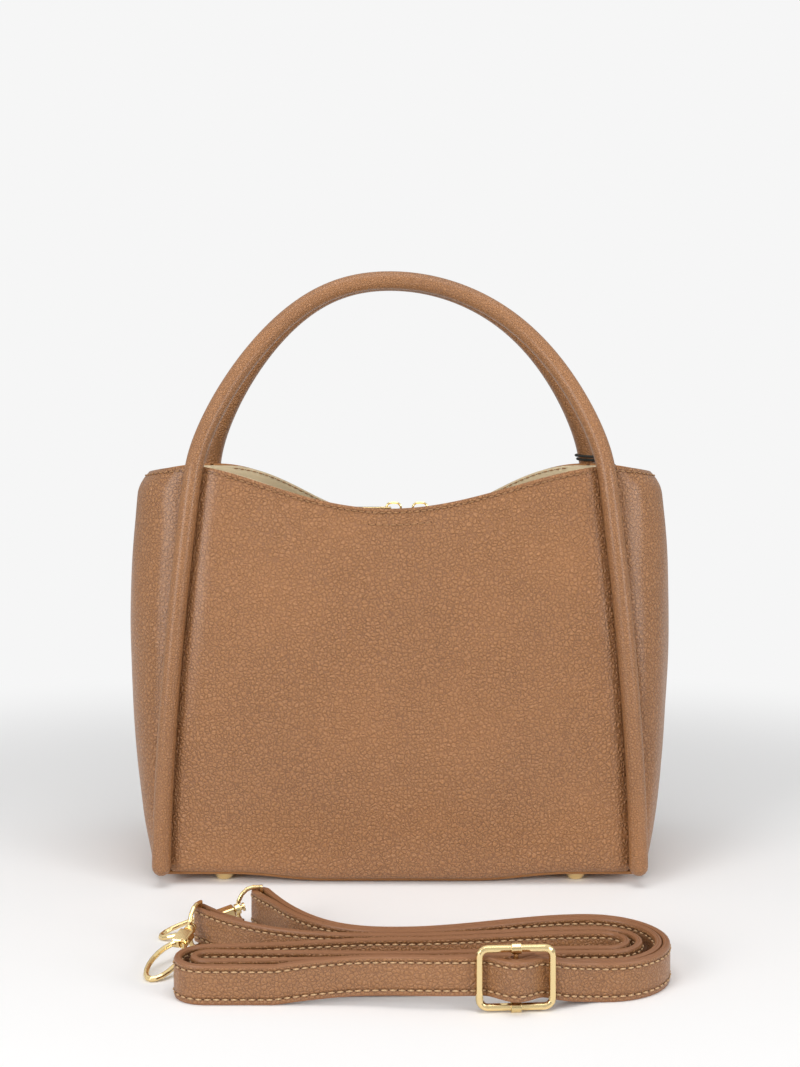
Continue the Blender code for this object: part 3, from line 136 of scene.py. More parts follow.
# The strap's sizes, in metres and shares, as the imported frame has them
STRAP_WIDTH = 0.0168
STRAP_PLY = 0.0032
SKIVED_PLY = 0.0016
SKIVED_LENGTH = 0.036
SKIVE_RUN = 0.012
SKIVE_LEAD_SHARE = 0.2
FOLD_SETTLE = 0.02
SLIDE_OUT = 0.0065
SLIDE_OUT_LEFT = 0.075
END_LIFT_REACH = 0.06
BUNDLE_TO_BAG = 0.114
BUNDLE_DEPTH = 0.033
RIGHT_TURN_X = 0.0857
NEAR_TURN_X = 0.0895
LEFT_TURN_X = -0.082
OUTER_TURN_RADIUS = 0.031
MIDDLE_TURN_RADIUS = 0.0152
INNER_TURN_RADIUS = 0.0098
FAR_TURN_RADIUS = 0.0125
TIGHT_TURN_RADIUS = 0.0055
OUTER_TURN_SETBACK = 0.0133
NEAR_TURN_SETBACK = 0.015
LEFT_TURN_SETBACK = 0.035
FIRST_END_X = -0.094
FIRST_END_OUT = 0.022
SECOND_END_X = -0.064
SECOND_END_OUT = 0.049
END_CURVE_SHARE = 2.8
SEWN_RETURN = 0.028
SLIDE_WIDTH = 0.0335
SLIDE_HEIGHT = 0.0275
SLIDE_WIRE_RADIUS = 0.0016
SLIDE_BAR_RADIUS = 0.001
COLLAR_RADIUS = 0.0023
SLIDE_X = 0.0476
HOOK_WIRE_RADIUS = 0.0011
RUN_SHARES = (0.0, 0.25, 0.42, 0.95, 1.13, 1.45)

# Sizes and shares of the dressed pieces alone, in metres
BACK_DIP = 0.034
FRONT_RIM_SHARE = 0.75
BACK_RIM_SHARE = 1.05
RIM_SHIFT = 0.006
SHOULDER = 0.009
SHOULDER_HEIGHT = 0.016
TUCK = 0.0045
TUCK_WIDTH = 0.018
FOLD_ROWS_SHARE = 0.12
HANDLE_WAIST = 0.002
TOOTH_PITCH = 0.0018
SLIDE_LIFT_LEFT = 0.100
SLIDE_LIFT_RIGHT = 0.040
SLIDE_LIFT_SHARE = 2.6
PANEL_SIDE_GAP = 0.0012
PANEL_FOOT_NARROWING = 0.004
SLOW_DENT = 0.0014
QUICK_DENT = 0.0004
PANEL_CALM_SIDE = 0.1
PANEL_CALM_TOP = 0.08
GUSSET_CALM_SIDE = 0.12
GUSSET_CALM_TOP = 0.06
CALM_FOOT = 0.1
GUSSET_HALF_SPAN = 0.09
BASE_LIFT = 0.0002
LINING_ROOM = 0.002
CLOTH_WAVE = 0.0005
TAPE_CREASE = 0.00006
TAG_CORNER = 0.0025
TAG_CURL = 0.0003
STRAP_WAVER = 0.00022

# Rows of stitches, in metres and as shares of a stitch
STITCH_FILL = 0.8
STITCH_SINK = 0.2
MAGNET_ROW_LENGTH = 0.033
MAGNET_ROW_INSET = 0.0098
TAB_STITCH_PITCH = 0.0024
STRAP_STITCH_PITCH = 0.0037
STRAP_ROW_START = 0.004

# The rim value far from any row of stitches, the merge distance, and the smallest length to divide by
FAR_FROM_RIM = 1.0
JOIN_DISTANCE = 0.00002
TINY = 1e-9

# How many places of the strap's section, counted from the middle of an edge, have edge paint
EDGE_PLACES = 3.9

# Where the lamps look
LAMP_AIM = (0.0, 0.0, 0.12)


class BagSizes(bpy.types.PropertyGroup):
    """Sizes that a maker would change."""
    leather: bpy.props.FloatProperty(
        name="Leather", description="Thickness of the body's leather", default=0.0018, unit="LENGTH")
    lining: bpy.props.FloatProperty(
        name="Lining", description="Thickness of the lining cloth", default=0.0009, unit="LENGTH")
    stitch_pitch: bpy.props.FloatProperty(
        name="Stitch pitch", description="From one stitch to the next", default=0.00366, unit="LENGTH")
    stitch_inset: bpy.props.FloatProperty(
        name="Stitch inset", description="From an edge to its row of stitches", default=0.0026,
        unit="LENGTH")
    thread: bpy.props.FloatProperty(
        name="Thread", description="Thickness of the thread", default=0.0008, unit="LENGTH")
    grain: bpy.props.FloatProperty(
        name="Grain", description="Depth of the pebbled grain", default=0.0007, unit="LENGTH")
    pebble: bpy.props.FloatProperty(
        name="Pebble", description="Width of one pebble of the grain", default=0.0021, unit="LENGTH")


class BagColours(bpy.types.PropertyGroup):
    """Colours of the leather, cloth, thread, metal and floor, with the painted shade and painted highlight
    of the leather's grain.
    """
    leather: bpy.props.FloatVectorProperty(
        name="Leather", description="Tan of the pebbles", default=(0.385, 0.172, 0.060),
        size=3, subtype="COLOR")
    # Painted shade: the dark colour of the hollows between the pebbles, which also darkens the stitch
    # grooves and the holes between stitches
    valley: bpy.props.FloatVectorProperty(
        name="Grain valleys", description="Tan between the pebbles", default=(0.155, 0.060, 0.020),
        size=3, subtype="COLOR")
    thread: bpy.props.FloatVectorProperty(
        name="Thread", description="Thread of the stitches", default=(0.42, 0.22, 0.095),
        size=3, subtype="COLOR")
    strap_thread: bpy.props.FloatVectorProperty(
        name="Strap thread", description="Paler thread of the strap", default=(0.60, 0.38, 0.20),
        size=3, subtype="COLOR")
    # Painted highlight: the pale colour laid on the tops of the pebbles
    pale: bpy.props.FloatVectorProperty(
        name="Pale", description="Light on the tops of the pebbles", default=(0.55, 0.30, 0.15),
        size=3, subtype="COLOR")
    edge: bpy.props.FloatVectorProperty(
        name="Edge paint", description="Painted edges of the strap", default=(0.28, 0.12, 0.05),
        size=3, subtype="COLOR")
    lining: bpy.props.FloatVectorProperty(
        name="Lining", description="Cream lining cloth", default=(0.68, 0.55, 0.35),
        size=3, subtype="COLOR")
    gold: bpy.props.FloatVectorProperty(
        name="Gold", description="Pale polished gold", default=(0.90, 0.70, 0.36),
        size=3, subtype="COLOR")
    dark: bpy.props.FloatVectorProperty(
        name="Elastic", description="Black elastic", default=(0.012, 0.011, 0.011),
        size=3, subtype="COLOR")
    tag: bpy.props.FloatVectorProperty(
        name="Tag", description="Dark brown blank tag", default=(0.05, 0.022, 0.012),
        size=3, subtype="COLOR")
    floor: bpy.props.FloatVectorProperty(
        name="Floor", description="Floor and backdrop", default=(0.922, 0.922, 0.922),
        size=3, subtype="COLOR")


class StageSizes(bpy.types.PropertyGroup):
    """Camera and lights."""
    distance: bpy.props.FloatProperty(
        name="Distance", description="Camera to the bag's front", default=0.7852, unit="LENGTH")
    eye: bpy.props.FloatProperty(
        name="Eye height", description="Camera above the floor", default=0.2402, unit="LENGTH")
    pitch: bpy.props.FloatProperty(
        name="Pitch", description="Camera's tilt down", default=math.radians(1.927), unit="ROTATION")
    lens: bpy.props.FloatProperty(name="Lens", description="Focal length in mm", default=51.04)
    shift: bpy.props.FloatProperty(name="Shift", description="Picture's shift up", default=-0.0506)
    ambient: bpy.props.FloatProperty(
        name="Ambient", description="Even light from all round", default=0.36)
    key: bpy.props.FloatProperty(
        name="Key", description="Lamp at the left", default=12.0, unit="POWER")
    fill: bpy.props.FloatProperty(
        name="Fill", description="Lamp at the right", default=8.0, unit="POWER")
    top: bpy.props.FloatProperty(
        name="Top", description="Lamp overhead", default=13.0, unit="POWER")


def colours():
    """The scene's colour settings."""
    return bpy.context.scene.bag_colours


def sizes():
    """The scene's size settings."""
    return bpy.context.scene.bag_sizes


# Finishes


class Link:
    """A shader socket that can be used in sums."""

    def __init__(self, shader, socket):
        self.shader = shader
        self.socket = socket

    def other(self, name):
        """Another output of the same node."""
        return Link(self.shader, self.socket.node.outputs[name])

    def math(self, operation, *others):
        return self.shader.add("ShaderNodeMath", {"operation": operation},
                               dict(enumerate((self,) + others)))

    def __add__(self, other):
        return self.math("ADD", other)

    def __radd__(self, other):
        return self.math("ADD", other)

    def __sub__(self, other):
        return self.math("SUBTRACT", other)

    def __rsub__(self, other):
        return self.shader.add("ShaderNodeMath", {"operation": "SUBTRACT"}, {0: other, 1: self})

    def __mul__(self, other):
        return self.math("MULTIPLY", other)

    def __rmul__(self, other):
        return self.math("MULTIPLY", other)


class Shader:
    """The node tree of a material or a world, built from calls."""

    def __init__(self, home):
        home.use_nodes = True
        self.home = home
        self.tree = home.node_tree
        self.surface = self.tree.nodes.get("Principled BSDF")

    def add(self, kind, settings=None, values=None, output=0):
        """A new node: its settings first, a ramp's stops among them, then its sockets."""
        node = self.tree.nodes.new(kind)
        for key, value in (settings or {}).items():
            if key == "stops":
                for element, (place, shade) in zip(node.color_ramp.elements, value):
                    element.position = place
                    element.color = (shade, shade, shade, 1.0)
            else:
                setattr(node, key, value)
        for key, value in (values or {}).items():
            self.put(node.inputs[key], value)
        return Link(self, node.outputs[output])

    def put(self, socket, value):
        """Link a socket, or set it to a number or a colour."""
        if isinstance(value, Link):
            self.tree.links.new(value.socket, socket)
        elif hasattr(socket.default_value, "__len__") and hasattr(value, "__len__"):
            socket.default_value = (*value, 1.0)[:len(socket.default_value)]
        else:
            socket.default_value = value

    def set(self, **values):
        """Fill the surface's own sockets and give the material."""
        for key, value in values.items():
            self.put(self.surface.inputs[key.replace("_", " ")], value)
        return self.home

    def end(self, node, value):
        """Lead a shader into the tree's output node."""
        self.put(self.tree.nodes[node].inputs["Surface"], value)

    def place(self):
        return self.add("ShaderNodeTexCoord", output="Object")

    def attribute(self, name):
        return self.add("ShaderNodeAttribute", {"attribute_name": name}, output="Fac")

    def noise(self, place, scale, detail=2.0):
        return self.add("ShaderNodeTexNoise", None, {"Vector": place, "Scale": scale, "Detail": detail})

    def cells(self, place, scale, width):
        """Rounded cells, 0 on the lines between them and 1 in their middles."""
        lines = self.add("ShaderNodeTexVoronoi", {"feature": "DISTANCE_TO_EDGE"},
                         {"Vector": place, "Scale": scale})
        return self.ease(lines, 0.0, width)

    def ease(self, value, low, high):
        return self.add("ShaderNodeMapRange", {"interpolation_type": "SMOOTHSTEP"},
                        {"Value": value, 1: low, 2: high})

    def blend(self, factor, first, second):
        return self.add("ShaderNodeMix", {"data_type": "RGBA"}, {0: factor, 6: first, 7: second}, 2)

    def bump(self, height, distance):
        return self.add("ShaderNodeBump", None,
                        {"Strength": 1.0, "Distance": distance, "Height": height})


def new_material(name):
    """A new material's shader."""
    return Shader(bpy.data.materials.new(name))


def scaled(colour, share):
    """A colour with its channels times a share."""
    return tuple(channel * share for channel in colour)


def leather(name, pebble_share=1.0, depth_share=1.0, shine=0.36, tint=1.0):
    """Pebbled tan leather with painted shade in the hollows between its pebbles and in its stitch grooves,
    and a painted highlight on the pebbles' tops; the attribute rim, in metres, is the distance to a
    stitched edge.
    """
    shader = new_material(name)
    tan = scaled(colours().leather, tint)
    valley = scaled(colours().valley, tint)
    place = shader.place()
    wander = shader.add("ShaderNodeTexNoise", None,
                        {"Vector": place, "Scale": 420.0, "Detail": 2.0}, "Color")
    drift = shader.add("ShaderNodeVectorMath", {"operation": "MULTIPLY_ADD"},
                       {0: wander, 1: (0.0009,) * 3, 2: place})
    pebble = 1.0 / (sizes().pebble * pebble_share)
    big = shader.cells(drift, pebble, 0.34)
    small = shader.cells(drift, pebble * 1.6, 0.4)
    fine = shader.noise(place, 2600.0)
    bold = shader.ease(shader.noise(place, 16.0, 1.0), 0.3, 0.7)
    domes = big * (0.6 + bold * 0.25) + small * (0.4 - bold * 0.25)
    groove = shader.ease((shader.attribute("rim") - sizes().stitch_inset).math("ABSOLUTE"), 0.0, 0.0012)
    level = domes * (sizes().grain * depth_share) + fine * 0.00002 + groove * 0.0005
    # Painted shade: the colour darkens towards the hollows between the pebbles
    lines = shader.ease(big, 0.0, 0.3) * 0.65 + shader.ease(small, 0.0, 0.22) * 0.35
    base = shader.blend(lines * 0.85 + 0.15, valley, tan)
    tone = shader.ease(shader.noise(place, 11.0, 3.0), 0.35, 0.7)
    lighter = tuple(channel * share for channel, share in zip(tan, (1.2, 1.16, 1.1)))
    warm = shader.blend(tone * 0.3, base, lighter)
    # Painted highlight: a pale colour on the tops of the pebbles, more of it where the bold noise is high
    tops = shader.blend(shader.ease(domes, 0.6, 0.95) * (0.02 + bold * 0.04), warm, colours().pale)
    # Painted shade: the colour darkens along the groove of each row of stitches
    sewn = shader.blend((1.0 - groove) * 0.3, tops, colours().valley)
    rough = shine + 0.22 * (1.0 - domes) + fine * 0.05
    return shader.set(Base_Color=sewn, Roughness=rough, Normal=shader.bump(level, 1.0),
                      Specular_IOR_Level=0.5, Coat_Weight=0.35, Coat_Roughness=0.28)


def plain(name, colour, roughness=0.6, scale=1500.0, detail=2.0, uneven=0.4, dark_share=0.6,
          depth=0.00005):
    """A matt finish with a faint unevenness."""
    shader = new_material(name)
    fine = shader.noise(shader.place(), scale, detail)
    tone = shader.blend(fine * uneven, colour, scaled(colour, dark_share))
    return shader.set(Base_Color=tone, Roughness=roughness, Normal=shader.bump(fine, depth))


def smooth_leather(name, colour, roughness=0.5):
    """Edge paint and other leather without grain."""
    return plain(name, colour, roughness, scale=900.0, detail=3.0, uneven=0.3, dark_share=0.7,
                 depth=0.00008)


def thread(name, colour):
    """Twisted thread."""
    shader = new_material(name)
    twist = shader.noise(shader.place(), 2200.0, 1.0)
    tone = shader.blend(shader.ease(twist, 0.35, 0.65), colour, scaled(colour, 0.72))
    return shader.set(Base_Color=tone, Roughness=0.65, Normal=shader.bump(twist, 0.00012))


def lining_cloth(name):
    """Cream cloth with a fine weave."""
    shader = new_material(name)
    place = shader.place()
    across = shader.add("ShaderNodeSeparateXYZ", None, {0: place}, "X")
    along = across + across.other("Y")
    up = across.other("Z")
    weave = (along * 9000.0).math("SINE") * (up * 9000.0).math("SINE")
    uneven = shader.noise(place, 240.0, 3.0)
    tone = shader.blend(shader.ease(weave, -1.0, 1.0) * 0.25 + uneven * 0.2, colours().lining,
                        scaled(colours().lining, 0.8))
    return shader.set(Base_Color=tone, Roughness=0.85, Sheen_Weight=0.25,
                      Normal=shader.bump(weave + uneven, 0.00006))


def gold(name, roughness=0.1):
    """Polished gold with faint wear and softened edges."""
    shader = new_material(name)
    wear = shader.noise(shader.place(), 700.0, 3.0)
    tone = shader.blend(wear * 0.25, colours().gold, scaled(colours().gold, 0.86))
    rounded = shader.add("ShaderNodeBevel", {"samples": 6}, {"Radius": 0.0007})
    bump = shader.bump(wear, 0.00001)
    shader.put(bump.socket.node.inputs["Normal"], rounded)
    return shader.set(Base_Color=tone, Metallic=1.0, Roughness=roughness + wear * 0.06, Normal=bump)


def finish_for(name):
    """Each finish once, by name."""
    if name in bpy.data.materials:
        return bpy.data.materials[name]
    makers = {
        "body leather": lambda: leather(name),
        "gusset leather": lambda: leather(name, pebble_share=1.05, depth_share=1.1),
        "handle leather": lambda: leather(name, pebble_share=0.72, depth_share=0.6, shine=0.33,
                                          tint=0.97),
        "strap leather": lambda: leather(name, pebble_share=0.8, depth_share=0.6, shine=0.34,
                                         tint=0.9),
        "strap edge": lambda: smooth_leather(name, colours().edge),
        "inside leather": lambda: smooth_leather(name, colours().leather, roughness=0.8),
        "thread": lambda: thread(name, colours().thread),
        "strap thread": lambda: thread(name, colours().strap_thread),
        "lining": lambda: lining_cloth(name),
        "gold": lambda: gold(name),
        "zip gold": lambda: gold(name, roughness=0.18),
        "elastic": lambda: plain(name, colours().dark),
        "tag": lambda: plain(name, colours().tag, roughness=0.5),
        "board": lambda: plain(name, colours().dark, roughness=0.8),
        # Painted shade: the dark colour of the capsules in the holes between stitches
        "needle hole shade": lambda: plain(name, scaled(colours().valley, 0.4), roughness=0.9),
    }
    return makers[name]()


# The body's walls, by the same rules as the frame


def ease(share):
    """Rise smoothly from 0 to 1."""
    held = min(max(share, 0.0), 1.0)
    return held * held * (3.0 - 2.0 * held)


def power(value, share):
    """A power that keeps the value's sign."""
    return math.copysign(abs(value) ** share, value)


def height_share(height):
    """0 at the feet's top, 1 at the corners."""
    return min(max((height - FOOT_HEIGHT) / (CORNER_HEIGHT - FOOT_HEIGHT), 0.0), 1.0)


def seam_x(height):
    """Half the width between the corner rolls at a height."""
    lean = (BASE_WIDTH - TOP_WIDTH) / 2.0
    return BASE_WIDTH / 2.0 - lean * height_share(height) ** SEAM_CURVE_SHARE


def seam_y(height):
    """Half the depth between the corner rolls at a height."""
    lean = (BASE_DEPTH - TOP_DEPTH) / 2.0
    return BASE_DEPTH / 2.0 - lean * height_share(height) ** LEAN_CURVE_SHARE


def bulge(height):
    """How far the gusset stands out past the seams at a height."""
    rise = math.sin(height_share(height) * math.pi / 2.0) ** BULGE_CURVE_SHARE
    shoulder = max((height - CORNER_HEIGHT + SHOULDER_HEIGHT) / SHOULDER_HEIGHT, 0.0)
    return GUSSET_BASE_BULGE + (GUSSET_TOP_BULGE - GUSSET_BASE_BULGE) * rise - SHOULDER * shoulder ** 2


def panel_rim(x, dip):
    """Height of a panel's top edge, which dips between the corners, the front one left of its middle."""
    half = TOP_WIDTH / 2.0
    front = dip == FRONT_DIP
    if front:
        x += RIM_SHIFT * max(1.0 - (x / half) ** 2, 0.0)
    share = min(abs(x) / half, 1.0)
    curve = FRONT_RIM_SHARE if front else BACK_RIM_SHARE
    return CORNER_HEIGHT - dip * ((1.0 + math.cos(math.pi * share)) / 2.0) ** curve


def gusset_rim(angle):
    """Height of a gusset's top edge at an angle round it."""
    return CORNER_HEIGHT - GUSSET_DROP * math.cos(angle) ** 2


def sag(x):
    """How far the soft base hangs between the feet at a place across the bag."""
    reach = BASE_WIDTH / 2.0 * FOOT_SPREAD_SHARE - FOOT_RADIUS
    return BASE_SAG * ease((1.0 - abs(x) / reach) / SAG_RISE_SHARE)


def softness(seed, x, z):
    """Slow and quick dents and swells of soft leather, in metres, a wall's own by its seed."""
    slow = noise.noise(Vector((x * 17.0, z * 11.0, seed)))
    quick = noise.noise(Vector((x * 46.0, z * 30.0, seed + 9.0)))
    return slow * SLOW_DENT + quick * QUICK_DENT


def side_calm(across, reach):
    """0 at a wall's side edges and 1 from a share of its half width inwards, where dents may start."""
    return ease((1.0 - abs(across)) / reach)


def gusset_calm(across, share):
    """Where a gusset may dent: away from all its edges."""
    calm = side_calm(across, GUSSET_CALM_SIDE)
    return calm * ease(share / CALM_FOOT) * ease((1.0 - share) / GUSSET_CALM_TOP)


def tuck_at(x, height):
    """How far a panel curves in towards the roll beside it."""
    share = max(1.0 - (seam_x(height) - abs(x)) / TUCK_WIDTH, 0.0)
    return TUCK * share ** 2.5


def wall_share(up):
    """The share of a wall's height above its fold, from the grid's own share."""
    return (up - FOLD_ROWS_SHARE) / (1.0 - FOLD_ROWS_SHARE)


def panel_point(across, up, dip, seed):
    """A point of a panel's outer face: folded under at its foot, tucked in behind the rolls."""
    calm = side_calm(across, PANEL_CALM_SIDE)
    if up < FOLD_ROWS_SHARE:
        angle = up / FOLD_ROWS_SHARE * math.pi / 2.0
        face = seam_y(FOLD_TOP) - PANEL_SET
        depth = face - FOLD_RADIUS + FOLD_RADIUS * math.sin(angle)
        side = seam_x(FOLD_TOP) - PANEL_SIDE_GAP - PANEL_FOOT_NARROWING * math.cos(angle)
        height = FOLD_TOP - (FOLD_RADIUS + sag(across * side)) * math.cos(angle)
        tuck = tuck_at(across * side, FOLD_TOP)
        swell = softness(seed, across * side, FOLD_TOP) * math.sin(angle) * calm
        return Vector((across * side, -(depth + swell - tuck * math.sin(angle)), height))
    share = wall_share(up)
    height = FOLD_TOP + share * (panel_rim(across * TOP_WIDTH / 2.0, dip) - FOLD_TOP)
    side = seam_x(height) - PANEL_SIDE_GAP
    crown = PANEL_BULGE * (1.0 - across * across) * math.sin(math.pi * height_share(height))
    tuck = tuck_at(across * side, height)
    calm *= ease((1.0 - share) / PANEL_CALM_TOP)
    swell = softness(seed, across * side, height) * calm
    return Vector((across * side, -(seam_y(height) - PANEL_SET + crown + swell - tuck), height))


def gusset_point(angle, height, shrink=0.0, inset=0.0):
    """A point of the right gusset's outer face, at an angle from its middle, -90 to 90 degrees."""
    reach = bulge(height) - shrink - inset
    half = seam_y(height) - ROLL_RADIUS - GAP - shrink - inset
    x = seam_x(height) + GAP + reach * abs(math.cos(angle)) ** SECTION_SHARE
    return Vector((x, half * power(math.sin(angle), SECTION_SHARE), height))


def gusset_sheet_point(across, up, seed):
    """The right gusset's outer face, folded under at its foot, with soft upright folds."""
    side = across * math.pi / 2.0
    if up < FOLD_ROWS_SHARE:
        turn = up / FOLD_ROWS_SHARE * math.pi / 2.0
        point = gusset_point(side, FOLD_TOP, FOLD_RADIUS * (1.0 - math.sin(turn)))
        point.z = FOLD_TOP - FOLD_RADIUS * math.cos(turn)
        return point
    share = wall_share(up)
    point = gusset_point(side, FOLD_TOP + share * (gusset_rim(side) - FOLD_TOP))
    swell = softness(seed, across * GUSSET_HALF_SPAN, point.z) * gusset_calm(across, share)
    point.x += swell * math.cos(side)
    point.y += swell * math.sin(side)
    return point


def mirrored(point, flip_x, flip_y):
    """The point, or its mirror image across the bag's middle planes."""
    return Vector((-point.x if flip_x else point.x, -point.y if flip_y else point.y, point.z))


def world(point):
    """From the body's own middle to the frame."""
    return Vector((point.x, point.y + MIDDLE_Y, point.z))


# Making pieces


def add_object(name, data):
    """A new object in the scene."""
    made = bpy.data.objects.new(name, data)
    bpy.context.scene.collection.objects.link(made)
    return made


def as_piece(name, shape, *finishes, smooth=35.0):
    """A mesh object from a bmesh, shaded smooth, with its finishes."""
    mesh = bpy.data.meshes.new(name)
    shape.to_mesh(mesh)
    shape.free()
    for finish in finishes:
        mesh.materials.append(finish_for(finish))
    mesh.shade_smooth()
    mesh.set_sharp_from_angle(angle=math.radians(smooth))
    return add_object(name, mesh)


def surface(name, rule, finish, columns, rows, join=False, rim=None, uv_size=(1.0, 1.0), paint=None):
    """A fine grid laid on a rule from (-1 to 1, 0 to 1) to a place, with its UV map in metres."""
    shape = bmesh.new()
    flat = shape.loops.layers.uv.new("UVMap")
    bmesh.ops.create_grid(shape, x_segments=columns, y_segments=rows, size=1.0, calc_uvs=True)
    edge = shape.verts.layers.float.new("rim")
    if paint:
        for face in shape.faces:
            face.material_index = paint((face.calc_center_median().y + 1.0) / 2.0)
    for vertex in shape.verts:
        across, up = vertex.co.x, (vertex.co.y + 1.0) / 2.0
        vertex[edge] = rim(across, up) if rim else FAR_FROM_RIM
        vertex.co = world(rule(across, up))
    for face in shape.faces:
        for loop in face.loops:
            loop[flat].uv = (loop[flat].uv[0] * uv_size[0], loop[flat].uv[1] * uv_size[1])
    if join:
        bmesh.ops.remove_doubles(shape, verts=shape.verts, dist=JOIN_DISTANCE)
        bmesh.ops.recalc_face_normals(shape, faces=shape.faces)
    return as_piece(name, shape, finish)


def thicken(piece, thickness, offset=-1.0, round_edge=0.0, rim_finish=None, inner_finish=None):
    """Give an open surface its thickness, with other finishes on its rim or inside if named."""
    solid = piece.modifiers.new("Thickness", "SOLIDIFY")
    solid.thickness = thickness
    solid.offset = offset
    solid.use_even_offset = True
    for place, finish in (("material_offset_rim", rim_finish), ("material_offset", inner_finish)):
        if finish:
            piece.data.materials.append(finish_for(finish))
            setattr(solid, place, len(piece.data.materials) - 1)
    if round_edge:
        bevel = piece.modifiers.new("Rounded edge", "BEVEL")
        bevel.width = round_edge
        bevel.segments = 2
        bevel.limit_method = "ANGLE"
        bevel.angle_limit = math.radians(50)
        bevel.use_clamp_overlap = True
    return piece


def keep(piece, body, slot, *nodes):
    """Let a piece ride on a body and stand for its nodes."""
    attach(piece, body)
    if nodes:
        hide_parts(*nodes)
    return piece


def close_ends(piece):
    """Fill the open ends of a tube or ribbon."""
    shape = bmesh.new()
    shape.from_mesh(piece.data)
    holes = [edge for edge in shape.edges if edge.is_boundary]
    bmesh.ops.holes_fill(shape, edges=holes, sides=0)
    bmesh.ops.recalc_face_normals(shape, faces=shape.faces)
    shape.to_mesh(piece.data)
    shape.free()


def lengths_along(path):
    """The distance from a path's start to each of its points."""
    lengths = [0.0]
    for first, second in zip(path, path[1:]):
        lengths.append(lengths[-1] + (second - first).length)
    return lengths


def path_frames(path, reference):
    """Two directions across a path at each point, the first as near to the reference as it can be."""
    last = len(path) - 1
    frames = []
    for index in range(len(path)):
        along = (path[min(index + 1, last)] - path[max(index - 1, 0)]).normalized()
        side = (reference - along * reference.dot(along)).normalized()
        frames.append((side, along.cross(side)))
    return frames


def tube(name, path, radius, sides, finish, shares, seam, reference):
    """A round tube along points, its ends closed, with the rim value dropping along a seam."""
    frames = path_frames(path, reference)
    last = len(path) - 1

    def rule(across, up):
        index = round(up * last)
        angle = (across + 1.0) * math.pi
        side, top = frames[index]
        reach = radius * shares[index]
        point = path[index] + (side * math.cos(angle) + top * math.sin(angle)) * reach
        return Vector((point.x, point.y - MIDDLE_Y, point.z))

    def rim(across, up):
        distance = abs(across - seam)
        return sizes().stitch_inset + min(distance, 2.0 - distance) * math.pi * radius

    piece = surface(name, rule, finish, columns=sides, rows=last, join=True, rim=rim)
    close_ends(piece)
    return piece


def smoothed(points, steps):
    """More points on a smooth curve through the given ones."""
    made = []
    for index in range(len(points) - 1):
        before, start, end, beyond = (points[max(index - 1, 0)], points[index], points[index + 1],
                                      points[min(index + 2, len(points) - 1)])
        for part in range(steps):
            t = part / steps
            made.append(0.5 * (2.0 * start + (end - before) * t
                               + (2.0 * before - 5.0 * start + 4.0 * end - beyond) * t * t
                               + (3.0 * start - before - 3.0 * end + beyond) * t * t * t))
    return made + [points[-1]]


def relaxed(points, rounds):
    """The same points drawn towards their neighbours, ends held."""
    held = [point.copy() for point in points]
    for _ in range(rounds):
        held = [held[0]] + [(held[i - 1] + held[i] * 2.0 + held[i + 1]) / 4.0
                            for i in range(1, len(held) - 1)] + [held[-1]]
    return held


def even_spaced(points, spacing):
    """The same line with its points at even distances."""
    lengths = lengths_along(points)
    count = max(round(lengths[-1] / spacing), 2)
    made = []
    step = 0
    for index in range(count + 1):
        want = lengths[-1] * index / count
        while step < len(points) - 2 and lengths[step + 1] < want:
            step += 1
        share = (want - lengths[step]) / max(lengths[step + 1] - lengths[step], TINY)
        made.append(points[step].lerp(points[step + 1], min(max(share, 0.0), 1.0)))
    return made


def add_copy(shape, mesh, matrix):
    """Add a mesh to a bmesh at a place."""
    copy = mesh.copy()
    copy.transform(matrix)
    shape.from_mesh(copy)
    bpy.data.meshes.remove(copy)


def seed_mesh(name, index):
    """One small capsule with a finish's number on its faces."""
    seed = bmesh.new()
    bmesh.ops.create_uvsphere(seed, u_segments=6, v_segments=4, radius=1.0)
    for face in seed.faces:
        face.material_index = index
    mesh = bpy.data.meshes.new(name)
    seed.to_mesh(mesh)
    seed.free()
    return mesh


def stitch_row(name, path, normals, pitch=None, finish="thread"):
    """One stitch after another along a path: short sunk capsules of thread, with flattened dark capsules
    of painted shade in the holes between them.
    """
    pitch = pitch or sizes().stitch_pitch
    thick = sizes().thread / 2.0
    lengths = lengths_along(path)
    count = max(int(lengths[-1] / pitch), 1)
    stitch = seed_mesh(name + "_stitch", 0)
    hole_shade = seed_mesh(name + "_hole", 1)
    shape = bmesh.new()
    step = 0
    for index in range(2 * count + 1):
        middle = index * lengths[-1] / (2.0 * count)
        while step < len(path) - 2 and lengths[step + 1] < middle:
            step += 1
        share = (middle - lengths[step]) / max(lengths[step + 1] - lengths[step], TINY)
        place = path[step].lerp(path[step + 1], share)
        along = (path[step + 1] - path[step]).normalized()
        out = normals[step].lerp(normals[step + 1], share)
        out = (out - along * out.dot(along)).normalized()
        across = out.cross(along)
        # Every other capsule is a flattened dark one: painted shade in the hole between two stitches
        hole = index % 2 == 0
        half = thick * 0.7 if hole else pitch * STITCH_FILL / 2.0
        deep = thick * 0.4 if hole else thick
        lift = 0.0 if hole else thick * (1.0 - STITCH_SINK * 2.0)
        wide = thick * (0.8 if hole else 1.1)
        turn = Matrix((along * half, across * wide, out * deep)).transposed().to_4x4()
        add_copy(shape, hole_shade if hole else stitch, Matrix.Translation(place + out * lift) @ turn)
    bpy.data.meshes.remove(stitch)
    bpy.data.meshes.remove(hole_shade)
    return as_piece(name, shape, finish, "needle hole shade", smooth=180.0)


